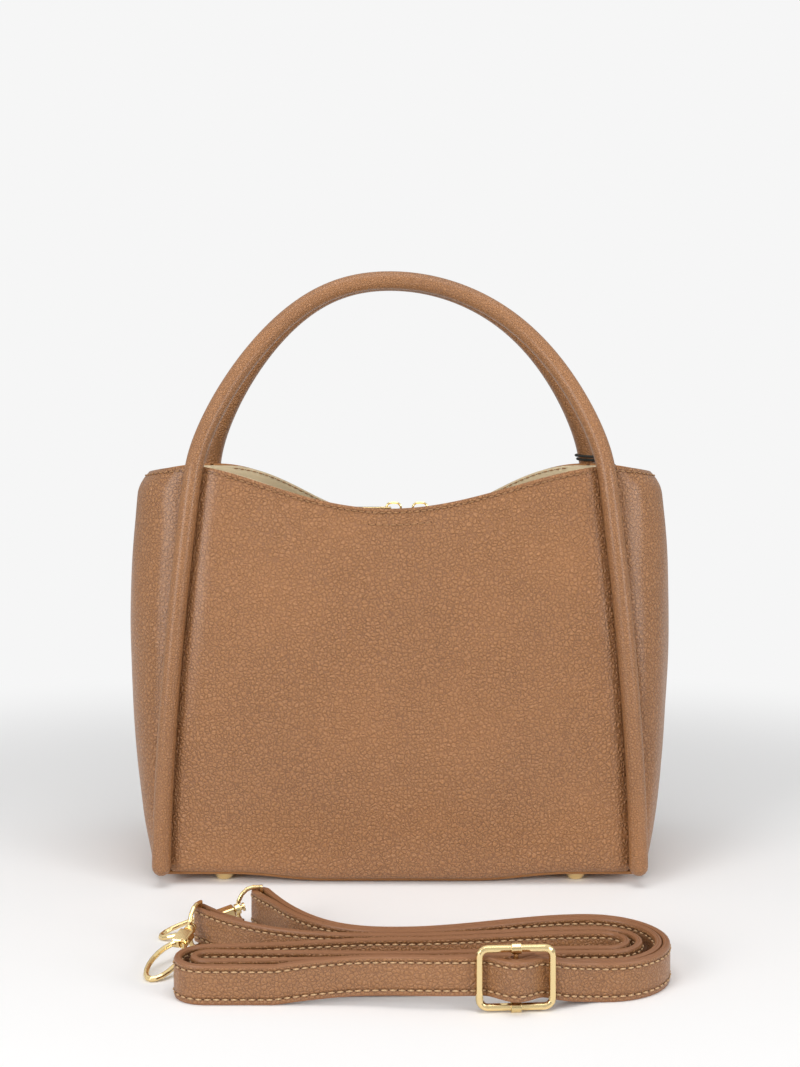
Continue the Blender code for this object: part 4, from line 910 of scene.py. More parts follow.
def row_on(rule, places):
    """A path on a rule's surface through (across, up) places, with the surface's outward directions."""
    path = []
    normals = []
    near = 0.004
    for across, up in places:
        here = world(rule(across, up))
        beside = world(rule(min(across + near, 1.0), up)) - world(rule(max(across - near, -1.0), up))
        above = world(rule(across, min(up + near, 1.0))) - world(rule(across, max(up - near, 0.0)))
        path.append(here)
        normals.append(beside.cross(above).normalized())
    return path, normals


# The pieces of the body


# A wall's dip, whether it is the mirrored one, and the seed of its dents
PANELS = {"front": (FRONT_DIP, False, 3.0), "back": (BACK_DIP, True, 21.0)}
GUSSETS = {"right": (False, 40.0), "left": (True, 57.0)}


def panel_rule(side):
    """A panel's outer face as a rule, its left and right turned over for the back."""
    dip, flip, seed = PANELS[side]
    if flip:
        return lambda across, up: mirrored(panel_point(-across, up, dip, seed), False, True)
    return lambda across, up: panel_point(across, up, dip, seed)


def gusset_rule(side):
    """A gusset's outer face as a rule, mirrored for the left."""
    flip, seed = GUSSETS[side]
    if flip:
        return lambda across, up: mirrored(gusset_sheet_point(-across, up, seed), True, False)
    return lambda across, up: gusset_sheet_point(across, up, seed)


def below_top(across, up):
    """How far under its top edge a point of a wall lies."""
    return max(1.0 - wall_share(up), 0.0) * (CORNER_HEIGHT - FOLD_TOP)


def row_up(inset):
    """The share of a wall's height that lies an inset below its top edge."""
    return 1.0 - inset / (CORNER_HEIGHT - FOLD_TOP) * (1.0 - FOLD_ROWS_SHARE)


def make_wall(name, node, rule, finish):
    """One leather wall with its edge rounded, and the stitches below its edge."""
    wall = surface(name, rule, finish, columns=96, rows=104, rim=below_top, uv_size=(0.25, 0.21))
    thicken(wall, sizes().leather, rim_finish="inside leather", inner_finish="inside leather",
            round_edge=sizes().leather / 3.0)
    keep(wall, "bag", "tan_leather", node)
    steps = 80
    span = 1.9
    places = [(step / steps * span - span / 2.0, row_up(sizes().stitch_inset))
              for step in range(steps + 1)]
    keep(stitch_row(name + "_stitches", *row_on(rule, places)), "bag", "tan_leather")


def make_magnet_row():
    """The short second row of stitches over the front's magnet."""
    steps = 20
    places = [((step / steps - 0.5) * MAGNET_ROW_LENGTH / (TOP_WIDTH / 2.0), row_up(MAGNET_ROW_INSET))
              for step in range(steps + 1)]
    keep(stitch_row("Magnet_stitches", *row_on(panel_rule("front"), places)), "bag", "tan_leather")


def base_half_depth():
    """Half the base's depth, up to the panels' folds."""
    return seam_y(FOLD_TOP) - PANEL_SET - FOLD_RADIUS - GAP


def base_half_width(depth):
    """Half the base's width at a depth, following the gusset's folded edge."""
    half = seam_y(FOLD_TOP) - ROLL_RADIUS - GAP - FOLD_RADIUS
    share = min(abs(depth) / half, 1.0)
    angle = math.asin(share ** (1.0 / SECTION_SHARE))
    reach = max(bulge(FOLD_TOP) - FOLD_RADIUS - sizes().leather, 0.0)
    return seam_x(FOLD_TOP) - GAP + reach * math.cos(angle) ** SECTION_SHARE


def make_base():
    """The leather base, which hangs a little between the feet."""
    deep = base_half_depth()

    def base_point(across, up):
        depth = (2.0 * up - 1.0) * deep
        width = across * base_half_width(depth)
        edge = abs(2.0 * up - 1.0) ** 4
        return Vector((-width, -depth, FOOT_HEIGHT + BASE_LIFT - edge * sag(width)))

    base = surface("Base", base_point, "body leather", columns=72, rows=40, uv_size=(0.24, 0.1))
    thicken(base, sizes().leather, inner_finish="inside leather", rim_finish="inside leather")
    keep(base, "bag", "tan_leather", "base_panel")


def arch_points():
    """The front handle's centre line from the left corner to the right, above the corners."""
    steps = 72
    lean = TOP_DEPTH / 2.0 - ROLL_RADIUS - GAP / 2.0
    points = []
    for step in range(steps + 1):
        angle = math.pi - math.pi * step / steps
        rise = power(math.sin(angle), 2.0 / HANDLE_RISE_SHARE) if 0 < step < steps else 0.0
        x = TOP_WIDTH / 2.0 * power(math.cos(angle), 2.0 / HANDLE_SIDE_SHARE)
        skew = HANDLE_SKEW * rise ** HANDLE_SKEW_SHARE
        x -= math.copysign(HANDLE_WAIST * math.sin(math.pi * rise), x)
        points.append(Vector((x + skew, -TOP_DEPTH / 2.0 + lean * rise ** HANDLE_LEAN_SHARE,
                              CORNER_HEIGHT + HANDLE_RISE * rise)))
    return points


def handle_path():
    """From the front left roll's foot up over the arch and down to the front right roll's foot."""
    low = FOOT_HEIGHT + ROLL_RADIUS
    steps = 40
    rise = []
    for step in range(steps):
        height = low + (CORNER_HEIGHT - low) * step / steps
        rise.append(Vector((-seam_x(height), -seam_y(height), height)))
    fall = [Vector((-point.x, point.y, point.z)) for point in reversed(rise)]
    line = even_spaced(rise + arch_points() + fall, 0.003)
    return relaxed(line, 12)


def rounded_ends(path, radius):
    """A path with its ends drawn in to round tips, and each point's share of the radius."""
    shares = (0.0, 0.25, 0.5, 0.75)
    start = (path[1] - path[0]).normalized()
    end = (path[-1] - path[-2]).normalized()
    tips = [path[0] - start * radius * math.cos(share * math.pi / 2.0) for share in shares]
    tails = [path[-1] + end * radius * math.cos(share * math.pi / 2.0) for share in reversed(shares)]
    reach = [max(math.sin(share * math.pi / 2.0), 0.02) for share in shares]
    return tips + path + tails, reach + [1.0] * len(path) + reach[::-1]


def make_handles():
    """Each handle with the two rolls that it runs on into, as one leather tube."""
    for side, flip in (("front", False), ("back", True)):
        path = [world(mirrored(point, False, flip)) for point in handle_path()]
        path, shares = rounded_ends(path, ROLL_RADIUS)
        piece = tube(side.title() + "_handle", path, ROLL_RADIUS, sides=28, finish="handle leather",
                     shares=shares, seam=0.5, reference=Vector((0.0, 1.0, 0.0)))
        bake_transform(piece)
        outer = [side + "_handle", side + "_left_roll", side + "_right_roll"]
        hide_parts(*outer, *[name + "_cord" for name in outer])


# The inside: lining, middle compartment, zip and ring tabs


def shrink_at(height):
    """How much the lining draws in where it rounds into its floor."""
    inner = FOLD_RADIUS - sizes().leather - GAP
    under = min(max(FOLD_TOP - height, 0.0), inner)
    return inner - math.sqrt(inner * inner - under * under) + 3.0 * GAP * under / inner


def lining_point(around, share, deeper=0.0):
    """A point of the lining's outer face; around runs 0 to 4, over front, right, back and left."""
    side = int(around) % 4
    across = 2.0 * (around - int(around)) - 1.0
    behind = side in (2, 3)
    flow = -across if behind else across
    if side in (0, 2):
        rim = panel_rim(flow * TOP_WIDTH / 2.0, BACK_DIP if behind else FRONT_DIP)
        height = LINING_FLOOR + share * (rim - LINING_DROP - LINING_FLOOR)
        shrink = shrink_at(height)
        x = across * (seam_x(height) - ROLL_RADIUS - sizes().leather - shrink)
        crown = PANEL_BULGE * (1.0 - across * across) * math.sin(math.pi * height_share(height))
        calm = side_calm(across, PANEL_CALM_SIDE)
        calm *= ease((1.0 - share) / PANEL_CALM_TOP)
        calm *= ease(share / CALM_FOOT)
        swell = softness(PANELS["back" if behind else "front"][2], -x if behind else x, height) * calm
        depth = seam_y(height) - PANEL_SET - sizes().leather - GAP + crown + swell - shrink - deeper
        depth -= tuck_at(x, height)
        return mirrored(Vector((x, -depth, height)), behind, behind)
    angle = across * math.pi / 2.0
    height = LINING_FLOOR + share * (gusset_rim(angle) - LINING_DROP - LINING_FLOOR)
    point = gusset_point(angle, height, shrink_at(height), sizes().leather + 2.0 * GAP + deeper)
    seed = GUSSETS["left" if behind else "right"][1]
    swell = softness(seed, flow * GUSSET_HALF_SPAN, height) * gusset_calm(across, share)
    point.x += swell * math.cos(angle)
    point.y += swell * math.sin(angle)
    return mirrored(point, behind, behind)


def make_lining():
    """The cream lining, one open bag that follows the walls inside, sewn in along its top."""
    floor_share = 0.14

    def rule(across, up):
        around = min((across + 1.0) * 2.0, 4.0)
        if up < floor_share:
            edge = lining_point(around, 0.0)
            reach = up / floor_share
            return Vector((edge.x * reach, edge.y * reach, edge.z))
        return lining_point(around, (up - floor_share) / (1.0 - floor_share))

    lining = surface("Lining", rule, "lining", columns=176, rows=60, join=True, uv_size=(0.66, 0.3))
    floor = min(lining.data.polygons, key=lambda face: (face.center.z, abs(face.center.x)))
    if floor.normal.z > 0.0:
        lining.data.flip_normals()
    thicken(lining, sizes().lining)
    keep(lining, "bag", "lining_cloth", "lining")
    share = 1.0 - (sizes().stitch_inset - LINING_DROP) / (CORNER_HEIGHT - LINING_FLOOR)
    steps = 60
    for start, name in enumerate(("front", "right", "back", "left")):
        path = [world(lining_point(start + 0.03 + 0.94 * step / steps, share, sizes().lining))
                for step in range(steps + 1)]
        if name in ("front", "back"):
            normals = [Vector((0.0, math.copysign(1.0, MIDDLE_Y - point.y), 0.0)) for point in path]
        else:
            normals = [(Vector((0.0, MIDDLE_Y, point.z)) - point).normalized() for point in path]
        keep(stitch_row("Lining_stitches_" + name, path, normals), "bag", "tan_leather")


def lining_inner_x(height, depth):
    """Half the width inside the lining at a height and a depth from the middle, as in the frame."""
    clear = sizes().leather + 2.0 * GAP
    half = seam_y(height) - ROLL_RADIUS - GAP - clear
    angle = math.asin(min(abs(depth) / half, 1.0) ** (1.0 / SECTION_SHARE))
    return gusset_point(angle, height, 0.0, clear).x - LINING_ROOM - 2.0 * GAP


def make_compartment():
    """The zipped middle compartment: two cloth walls, each with its woven tape along the top."""
    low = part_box("compartment_front_wall")[0].z
    top = ZIP_HEIGHT - TAPE / 2.0 - GAP
    face = COMPARTMENT_DEPTH / 2.0
    foot_width = lining_inner_x(FOLD_TOP, face) - FOLD_RADIUS / 2.0
    tape_width = face - ZIP_SLIT / 2.0 - TOOTH_LENGTH

    def width_at(height):
        return min(lining_inner_x(height, face), foot_width + height - low)

    for side, sign in (("front", -1.0), ("back", 1.0)):

        def wall_point(across, up):
            height = low + up * (top - low)
            calm = ease((1.0 - abs(across)) / 0.1) * ease(up / 0.1) * ease((1.0 - up) / 0.1)
            wave = CLOTH_WAVE * noise.noise(Vector((across * 5.0, height * 22.0, 60.0 + sign))) * calm
            return Vector((-sign * across * width_at(height), sign * face + wave, height))

        wall = surface("Compartment_" + side, wall_point, "lining", columns=60, rows=40)
        thicken(wall, COMPARTMENT_WALL)
        keep(wall, "bag", "lining_cloth", "compartment_" + side + "_wall")
        middle = sign * (face - tape_width / 2.0)

        def tape_point(across, up):
            crease = TAPE_CREASE * math.cos(up * math.pi * 10.0)
            return Vector((across * ZIP_LENGTH / 2.0, middle + (up - 0.5) * tape_width,
                           ZIP_HEIGHT + TAPE / 2.0 - TAPE_CREASE + crease))

        tape = surface("Zip_tape_" + side, tape_point, "lining", columns=120, rows=20)
        thicken(tape, TAPE - 2.0 * TAPE_CREASE)
        keep(tape, "bag", "lining_cloth", "zip_tape_" + side)
        steps = 40
        rows = [low + (top - low) * step / steps for step in range(steps + 1)]
        area = sum((width_at(a) + width_at(b)) * (b - a) for a, b in zip(rows, rows[1:]))
        widest = 2.0 * max(width_at(height) for height in rows)


def make_teeth():
    """Two rows of small rounded zip teeth."""
    count = int((ZIP_LENGTH - 2.0 * STOP_LENGTH - 2.0 * GAP) / TOOTH_PITCH)
    length = TOOTH_LENGTH - GAP
    tooth = bmesh.new()
    bmesh.ops.create_cube(tooth, size=1.0)
    bmesh.ops.scale(tooth, vec=(TOOTH_WIDTH, length, TOOTH_HEIGHT), verts=tooth.verts)
    bmesh.ops.bevel(tooth, geom=tooth.edges[:], offset=0.00022, segments=1, profile=0.5,
                    affect="EDGES", material=-1)
    one = bpy.data.meshes.new("One_tooth")
    tooth.to_mesh(one)
    tooth.free()
    for side, sign in (("front", -1.0), ("back", 1.0)):
        shape = bmesh.new()
        for index in range(count):
            x = (index - (count - 1) / 2.0) * TOOTH_PITCH + sign * TOOTH_PITCH / 4.0
            place = world(Vector((x, sign * (ZIP_SLIT / 2.0 + length / 2.0), ZIP_HEIGHT)))
            add_copy(shape, one, Matrix.Translation(place))
        keep(as_piece("Zip_teeth_" + side, shape, "zip gold"), "bag", "gold_metal", "zip_teeth_" + side)
    bpy.data.meshes.remove(one)


def make_ring_tabs():
    """The leather tabs, each a strip folded over its ring's bar and sewn to the gusset."""
    room = RING_RADIUS + GAP + TAB_PLY
    turn = RING_RADIUS + GAP + TAB_PLY / 2.0
    inner, bends = 12, 14
    line = [Vector((turn, 0.0, -TAB_LENGTH + TAB_LENGTH * step / inner)) for step in range(inner)]
    for step in range(bends + 1):
        angle = math.pi * step / bends
        line.append(Vector((turn * math.cos(angle), 0.0, turn * math.sin(angle))))
    for step in range(1, bends + 1):
        drop = TAB_LENGTH * step / bends
        x = -turn + (2.0 * turn - TAB_PLY - GAP / 2.0) * ease(drop / 0.006)
        line.append(Vector((x, 0.0, -drop)))
    last = len(line) - 1
    for side, way in (("right", 1.0), ("left", -1.0)):
        low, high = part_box("ring_tab_" + side)
        outer = high.x if way > 0 else low.x
        centre = Vector((outer - way * room, (low.y + high.y) / 2.0, high.z - room))

        def rule(across, up):
            point = line[round((across + 1.0) / 2.0 * last)]
            return Vector((centre.x + way * point.x, centre.y - MIDDLE_Y + (up - 0.5) * TAB_WIDTH * way,
                           centre.z + point.z))

        tab = surface("Ring_tab_" + side, rule, "strap leather", columns=last, rows=8)
        thicken(tab, TAB_PLY, offset=0.0, rim_finish="strap edge", round_edge=0.0002)
        keep(tab, "bag", "tan_leather", "ring_tab_" + side)
        x = way * (turn - TAB_PLY * 1.5 - GAP / 2.0)
        for number, edge in enumerate((-1.0, 1.0)):
            path = [centre + Vector((x, edge * 0.004, -TAB_LENGTH + 0.0015 + 0.0095 * step / 8.0))
                    for step in range(9)]
            row = stitch_row("Ring_tab_stitches_" + side + "_" + str(number), path,
                             [Vector((-way, 0.0, 0.0))] * len(path), pitch=TAB_STITCH_PITCH)
            keep(row, "bag", "tan_leather")


# The tag on its elastic


def elastic_path():
    """Twice round the back handle's right leg, then down behind the gusset, as in the frame."""
    leg = Vector((TOP_WIDTH / 2.0, TOP_DEPTH / 2.0, CORNER_HEIGHT))
    across = ROLL_RADIUS + 4.0 * GAP + ELASTIC_RADIUS
    along = across + LOOP_SLACK
    pitch = 2.0 * (ELASTIC_RADIUS + GAP)
    turns = 24
    path = []
    for step in range(2 * turns + 1):
        angle = 2.0 * math.pi * step / turns
        rise = ELASTIC_RADIUS + 2.0 * GAP + pitch * (2.0 - step / turns)
        path.append(leg + Vector((across * math.cos(angle), along * math.sin(angle), rise)))
    clear = ELASTIC_RADIUS + GAP
    lead = [path[-1]]
    steps = 9
    for step in range(steps + 1):
        share = step / steps
        height = CORNER_HEIGHT - share * (CORNER_HEIGHT - TAG_TOP)
        angle = math.radians(TAG_START_ANGLE + (TAG_END_ANGLE - TAG_START_ANGLE) * share)
        beside = min(max(height, WIDEST_HEIGHT), CORNER_HEIGHT - SHOULDER_HEIGHT)
        point = gusset_point(angle, beside, 0.0, -2.0 * clear)
        lead.append(Vector((point.x, point.y, height)))
    path += smoothed(lead, 3)[1:]
    wound = 30
    return [world(point) for point in path[:wound] + relaxed(path[wound:], 8)]


def make_elastic(path):
    """The black elastic along its path."""
    curve = bpy.data.curves.new("Elastic", "CURVE")
    curve.dimensions = "3D"
    curve.bevel_depth = ELASTIC_RADIUS
    curve.bevel_resolution = 4
    curve.use_fill_caps = True
    line = curve.splines.new("POLY")
    line.points.add(len(path) - 1)
    for point, place in zip(line.points, path):
        point.co = (*place, 1.0)
    curve.materials.append(finish_for("elastic"))
    return keep(add_object("Elastic", curve), "bag", "elastic", "tag_elastic")


def make_tag():
    """The elastic, twice round the handle, and the blank tag that hangs on it."""
    path = elastic_path()
    elastic = make_elastic(path)
    low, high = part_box("swing_tag")
    behind = gusset_point(math.radians(TAG_END_ANGLE + TAG_SPAN_ANGLE), WIDEST_HEIGHT)
    before = gusset_point(math.radians(TAG_END_ANGLE - TAG_SPAN_ANGLE), WIDEST_HEIGHT)
    turn = Matrix.Rotation(math.atan2(before.x - behind.x, behind.y - before.y), 3, "Z")
    centre = (low + high) / 2.0
    half_high = TAG_HEIGHT / 2.0

    def rule(across, up):
        height = (up * 2.0 - 1.0) * half_high
        over = max(abs(height) - (half_high - TAG_CORNER), 0.0)
        half = TAG_WIDTH / 2.0 - TAG_CORNER + math.sqrt(max(TAG_CORNER * TAG_CORNER - over * over, 0.0))
        curl = TAG_CURL * (across * across - 0.5)
        return centre + turn @ Vector((curl, across * half, height)) - Vector((0.0, MIDDLE_Y, 0.0))

    tag = surface("Tag", rule, "tag", columns=24, rows=36)
    thicken(tag, TAG_PLATE, offset=0.0, round_edge=0.0002)
    keep(tag, "bag", "tag_card", "swing_tag")
    tuple(path[0])
    lengths_along(path)[-1]


# The folded shoulder strap, by the same rules as the frame


def run_setback(run, x):
    """How far one of the six runs lies in front of the bundle's back, at a place along it."""
    middle = RUN_SHARES[run] * BUNDLE_DEPTH
    out = 0.0
    if run == 5:
        reach = SLIDE_OUT_LEFT if x < SLIDE_X else RIGHT_TURN_X - SLIDE_X
        out = SLIDE_OUT * ease((reach - abs(x - SLIDE_X)) / (reach - SLIDE_WIDTH / 2.0))
    right = (OUTER_TURN_SETBACK - OUTER_TURN_RADIUS, NEAR_TURN_SETBACK - MIDDLE_TURN_RADIUS,
             NEAR_TURN_SETBACK - INNER_TURN_RADIUS, NEAR_TURN_SETBACK + INNER_TURN_RADIUS,
             NEAR_TURN_SETBACK + MIDDLE_TURN_RADIUS, OUTER_TURN_SETBACK + OUTER_TURN_RADIUS)[run]
    left = (-SECOND_END_OUT, -FIRST_END_OUT, LEFT_TURN_SETBACK - FAR_TURN_RADIUS,
            LEFT_TURN_SETBACK - TIGHT_TURN_RADIUS, LEFT_TURN_SETBACK + TIGHT_TURN_RADIUS,
            LEFT_TURN_SETBACK + FAR_TURN_RADIUS)[run]
    if x >= 0.0:
        return middle + (right - middle) * ease(x / RIGHT_TURN_X) + out
    if run == 0:
        return middle + (left - middle) * (x / SECOND_END_X) ** END_CURVE_SHARE
    if run == 1:
        return middle + (left - middle) * (x / FIRST_END_X) ** END_CURVE_SHARE
    return middle + (left - middle) * ease(x / LEFT_TURN_X) + out


def bundle_point(x, setback, lift=0.0):
    """A place in the folded bundle, in the body's own coordinates."""
    return Vector((x, -BASE_DEPTH / 2.0 - BUNDLE_TO_BAG - setback, lift))


def slide_middle_height():
    """Height of the slide's middle while it stands on the floor."""
    return SLIDE_HEIGHT / 2.0 - SLIDE_WIRE_RADIUS + COLLAR_RADIUS


def slide_lift(x):
    """The slide stands on the floor and holds the strap at its middle."""
    top = slide_middle_height() - STRAP_WIDTH / 2.0
    if x > SLIDE_X:
        share = min((x - SLIDE_X) / SLIDE_LIFT_RIGHT, 1.0)
        return top * math.cos(share * math.pi / 2.0) ** 2
    return top * (1.0 - min((SLIDE_X - x) / SLIDE_LIFT_LEFT, 1.0) ** SLIDE_LIFT_SHARE)


def end_lift(distance):
    """The swivel loops stand on the floor and hold the strap's ends up."""
    share = 1.0 - min(distance / END_LIFT_REACH, 1.0)
    return (GAP + 2.0 * HOOK_WIRE_RADIUS) * share * share


def run_points(run, start, end, spacing):
    """Points along a run between two places."""
    count = max(round(abs(end - start) / spacing), 2)
    made = []
    for index in range(count + 1):
        x = start + (end - start) * index / count
        lift = 0.0
        if run == 0 and x < 0.0:
            lift = end_lift(x - SECOND_END_X)
        if run == 1 and x < 0.0:
            lift = end_lift(x - FIRST_END_X)
        if run == 5:
            lift = slide_lift(x)
        made.append(bundle_point(x, run_setback(run, x), lift))
    return made


def turn_points(x, setback, radius, start, sweep, spacing):
    """Points round a turn, without its two ends, at angles in degrees from +X."""
    count = max(round(abs(math.radians(sweep)) * radius / spacing), 9)
    made = []
    for index in range(1, count):
        angle = math.radians(start + sweep * index / count)
        made.append(bundle_point(x + radius * math.cos(angle), setback - radius * math.sin(angle)))
    return made


def side_of(points, index):
    """The direction to the left of a path at one of its points."""
    ahead = points[min(index + 1, len(points) - 1)]
    behind = points[max(index - 1, 0)]
    along = Vector((ahead.x - behind.x, ahead.y - behind.y, 0.0)).normalized()
    return Vector((-along.y, along.x, 0.0))


def fold_back(points, side, radius, apart, reach):
    """Carry a path on round a bar at its end, then back beside itself; gives the added points."""
    left = side_of(points, len(points) - 1) * side
    along = Vector((left.y, -left.x, 0.0)) * side
    centre = points[-1] + left * radius
    made = []
    steps = 10
    for index in range(1, steps):
        angle = math.pi * index / steps
        made.append(centre - left * radius * math.cos(angle) + along * radius * math.sin(angle))
    gone = 0.0
    for index in range(len(points) - 1, -1, -1):
        if index < len(points) - 1:
            gone += (points[index + 1] - points[index]).length
        if gone > reach:
            break
        near = apart(gone)
        distance = near + (2.0 * radius - near) * (1.0 - ease(gone / FOLD_SETTLE))
        made.append(points[index] + side_of(points, index) * side * distance)
    return made


def slide_window():
    """Half the free width inside the slide's frame."""
    return SLIDE_WIDTH / 2.0 - 2.0 * SLIDE_WIRE_RADIUS


def ply_over_bar():
    """From the slide's bar to the middle of the ply that runs over it and over the sewn end."""
    return SLIDE_BAR_RADIUS + GAP + SKIVED_PLY + GAP + STRAP_PLY / 2.0


def strap_path():
    """The strap's centre line, from the first hook's sewn end round its folds to the slide's bar."""
    near = 0.0036
    points = run_points(1, FIRST_END_X, NEAR_TURN_X, near)
    points += turn_points(NEAR_TURN_X, NEAR_TURN_SETBACK, MIDDLE_TURN_RADIUS, 90.0, -180.0, near)
    points += run_points(4, NEAR_TURN_X, LEFT_TURN_X, near)
    points += turn_points(LEFT_TURN_X, LEFT_TURN_SETBACK, TIGHT_TURN_RADIUS, 270.0, -180.0, near)
    points += run_points(3, LEFT_TURN_X, NEAR_TURN_X, near)
    points += turn_points(NEAR_TURN_X, NEAR_TURN_SETBACK, INNER_TURN_RADIUS, -90.0, 180.0, near)
    points += run_points(2, NEAR_TURN_X, LEFT_TURN_X, near)
    points += turn_points(LEFT_TURN_X, LEFT_TURN_SETBACK, FAR_TURN_RADIUS, 90.0, 180.0, near)
    window = slide_window()
    points += run_points(5, LEFT_TURN_X, SLIDE_X - window, near)[:-1]
    over = run_points(5, SLIDE_X - window, SLIDE_X + window, window / 12.0)
    behind = side_of(over, len(over) // 2)
    rise = ply_over_bar() + SLIDE_WIRE_RADIUS + GAP + STRAP_PLY / 2.0
    for point in over:
        share = math.cos((point.x - SLIDE_X) / window * math.pi / 2.0) ** 2
        point -= behind * rise * share
    half = len(over) // 2
    points += over[:half]
    after = over[half:]
    after += run_points(5, SLIDE_X + window, RIGHT_TURN_X, near)[1:]
    after += turn_points(RIGHT_TURN_X, OUTER_TURN_SETBACK, OUTER_TURN_RADIUS, -90.0, 180.0, near)
    after += run_points(0, RIGHT_TURN_X, SECOND_END_X, near)

    skived_apart = (STRAP_PLY + SKIVED_PLY) / 2.0 + GAP
    wrapped = window + math.pi * (SLIDE_BAR_RADIUS + GAP + SKIVED_PLY / 2.0)
    head = fold_back(list(reversed(points)), -1.0, HOOK_WIRE_RADIUS + GAP + SKIVED_PLY / 2.0,
                     lambda gone: skived_apart, SEWN_RETURN)
    total = lengths_along(after)[-1]

    def beside(gone):
        full = ease((total - gone + wrapped - SKIVED_LENGTH) / SKIVE_RUN + SKIVE_LEAD_SHARE)
        return skived_apart + (STRAP_PLY + GAP - skived_apart) * full

    tail = fold_back(after, 1.0, HOOK_WIRE_RADIUS + GAP + STRAP_PLY / 2.0, beside, total)
    sewn = fold_back(tail, -1.0, SLIDE_BAR_RADIUS + GAP + SKIVED_PLY / 2.0,
                     lambda gone: SKIVED_PLY + GAP, window)
    return head[::-1] + points + after + tail + sewn


def ribbon_profile(half):
    """Places across the strap's section, from (thickness, height): rounded edges and a raised middle."""
    width = STRAP_WIDTH
    round_edge = 0.0009
    inset = sizes().stitch_inset
    groove = 0.0007
    face = [(half - round_edge, 0.0), (half - round_edge * 0.3, round_edge * 0.3), (half, round_edge),
            (half, inset - groove), (half - 0.00022, inset), (half, inset + groove),
            (half + 0.00004, width * 0.35), (half + 0.00006, width * 0.5)]
    edge = [(0.0, 0.00018), (half * 0.22, 0.0)]
    right = edge + face
    right += [(depth, width - height) for depth, height in reversed(right[:-1])]
    left = [(-depth, height) for depth, height in reversed(right[1:-1])]
    return right + left


def make_strap():
    """The strap as one ribbon on its edge, with painted edges and two rows of stitches a side."""
    path = strap_path()
    lengths = lengths_along(path)
    total = lengths[-1]
    from_end = [min(length, total - length) for length in lengths]
    halves = [(SKIVED_PLY + (STRAP_PLY - SKIVED_PLY) * ease((gone - SKIVED_LENGTH) / SKIVE_RUN)) / 2.0
              for gone in from_end]
    last = len(path) - 1
    profiles = [ribbon_profile(half) for half in halves]
    rounds = len(profiles[0])
    sides = [side_of(path, index) for index in range(len(path))]
    waver = [STRAP_WAVER * noise.noise(Vector((length * 21.0, 3.0, 7.0))) for length in lengths]

    def section_at(across, up):
        index = round((across + 1.0) / 2.0 * last)
        return index, profiles[index][round(up * rounds) % rounds]

    def rule(across, up):
        index, (depth, height) = section_at(across, up)
        place = path[index] - sides[index] * (depth + waver[index])
        return Vector((place.x, place.y, place.z + height))

    def rim(across, up):
        height = section_at(across, up)[1][1]
        return min(height, STRAP_WIDTH - height) + 0.00001

    def paint(up):
        place = (up * rounds) % rounds
        from_edge = min(place, abs(place - rounds / 2.0), rounds - place)
        return 1 if from_edge < EDGE_PLACES else 0

    strap = surface("Strap", rule, "strap leather", columns=last, rows=rounds, join=True, rim=rim,
                    uv_size=(total, 0.04), paint=paint)
    strap.data.materials.append(finish_for("strap edge"))
    close_ends(strap)
    keep(strap, "strap", "tan_leather", "shoulder_strap")
    inset = sizes().stitch_inset
    for side, way in (("left", 1.0), ("right", -1.0)):
        for edge, height in (("low", inset), ("high", STRAP_WIDTH - inset)):
            line = []
            out = []
            for index, place in enumerate(path):
                if from_end[index] < STRAP_ROW_START:
                    continue
                normal = sides[index] * way
                spot = world(place + normal * (halves[index] - 0.00012) - sides[index] * waver[index])
                line.append(Vector((spot.x, spot.y, spot.z + height)))
                out.append(normal)
            row = stitch_row("Strap_stitches_" + edge + "_" + side, line, out,
                             pitch=STRAP_STITCH_PITCH, finish="strap thread")
            keep(row, "strap", "tan_leather")


# The frame's own pieces


def dress_hardware():
    """Polished gold and the other finishes on the frame's own pieces."""
    finishes = {"filler_cord": "lining", "board": "board", "lining_cloth": "lining",
                "tan_leather": "inside leather", "elastic": "elastic", "tag_card": "tag"}
    slots = {part["node"]: part["material_slot"] for part in frame["record"]["subparts"]}
    for name, node in frame["nodes"].items():
        finish = "zip gold" if name.startswith("zip_teeth") else finishes.get(slots.get(name), "gold")
        for place in node.material_slots:
            place.material = finish_for(finish)


# The stage


def make_camera():
    """The camera in front of the bag's middle, tilted a little down."""
    stage = bpy.context.scene.bag_stage
    data = bpy.data.cameras.new("Camera")
    data.sensor_width = 36.0
    data.lens = stage.lens
    data.shift_y = stage.shift
    data.clip_start = 0.02
    data.clip_end = 50.0
    camera = add_object("Camera", data)
    camera.location = (0.0, MIDDLE_Y - BASE_DEPTH / 2.0 - stage.distance, stage.eye)
    camera.rotation_euler = (math.pi / 2.0 - stage.pitch, 0.0, 0.0)
    bpy.context.scene.camera = camera


def make_lamp(name, place, size, watts):
    """A soft square lamp that looks at the bag's middle."""
    data = bpy.data.lights.new(name, "AREA")
    data.shape = "SQUARE"
    data.size = size
    data.energy = watts
    lamp = add_object(name, data)
    lamp.location = place
    lamp.rotation_euler = (Vector(LAMP_AIM) - Vector(place)).to_track_quat("-Z", "Y").to_euler()


def make_lamps():
    """A lamp low at the left, one low at the right and a large one overhead."""
    stage = bpy.context.scene.bag_stage
    make_lamp("Key", place=(-0.95, -1.15, 0.62), size=0.7, watts=stage.key)
    make_lamp("Fill", place=(1.1, -0.95, 0.55), size=0.6, watts=stage.fill)
    make_lamp("Top", place=(0.0, -0.5, 1.8), size=1.3, watts=stage.top)


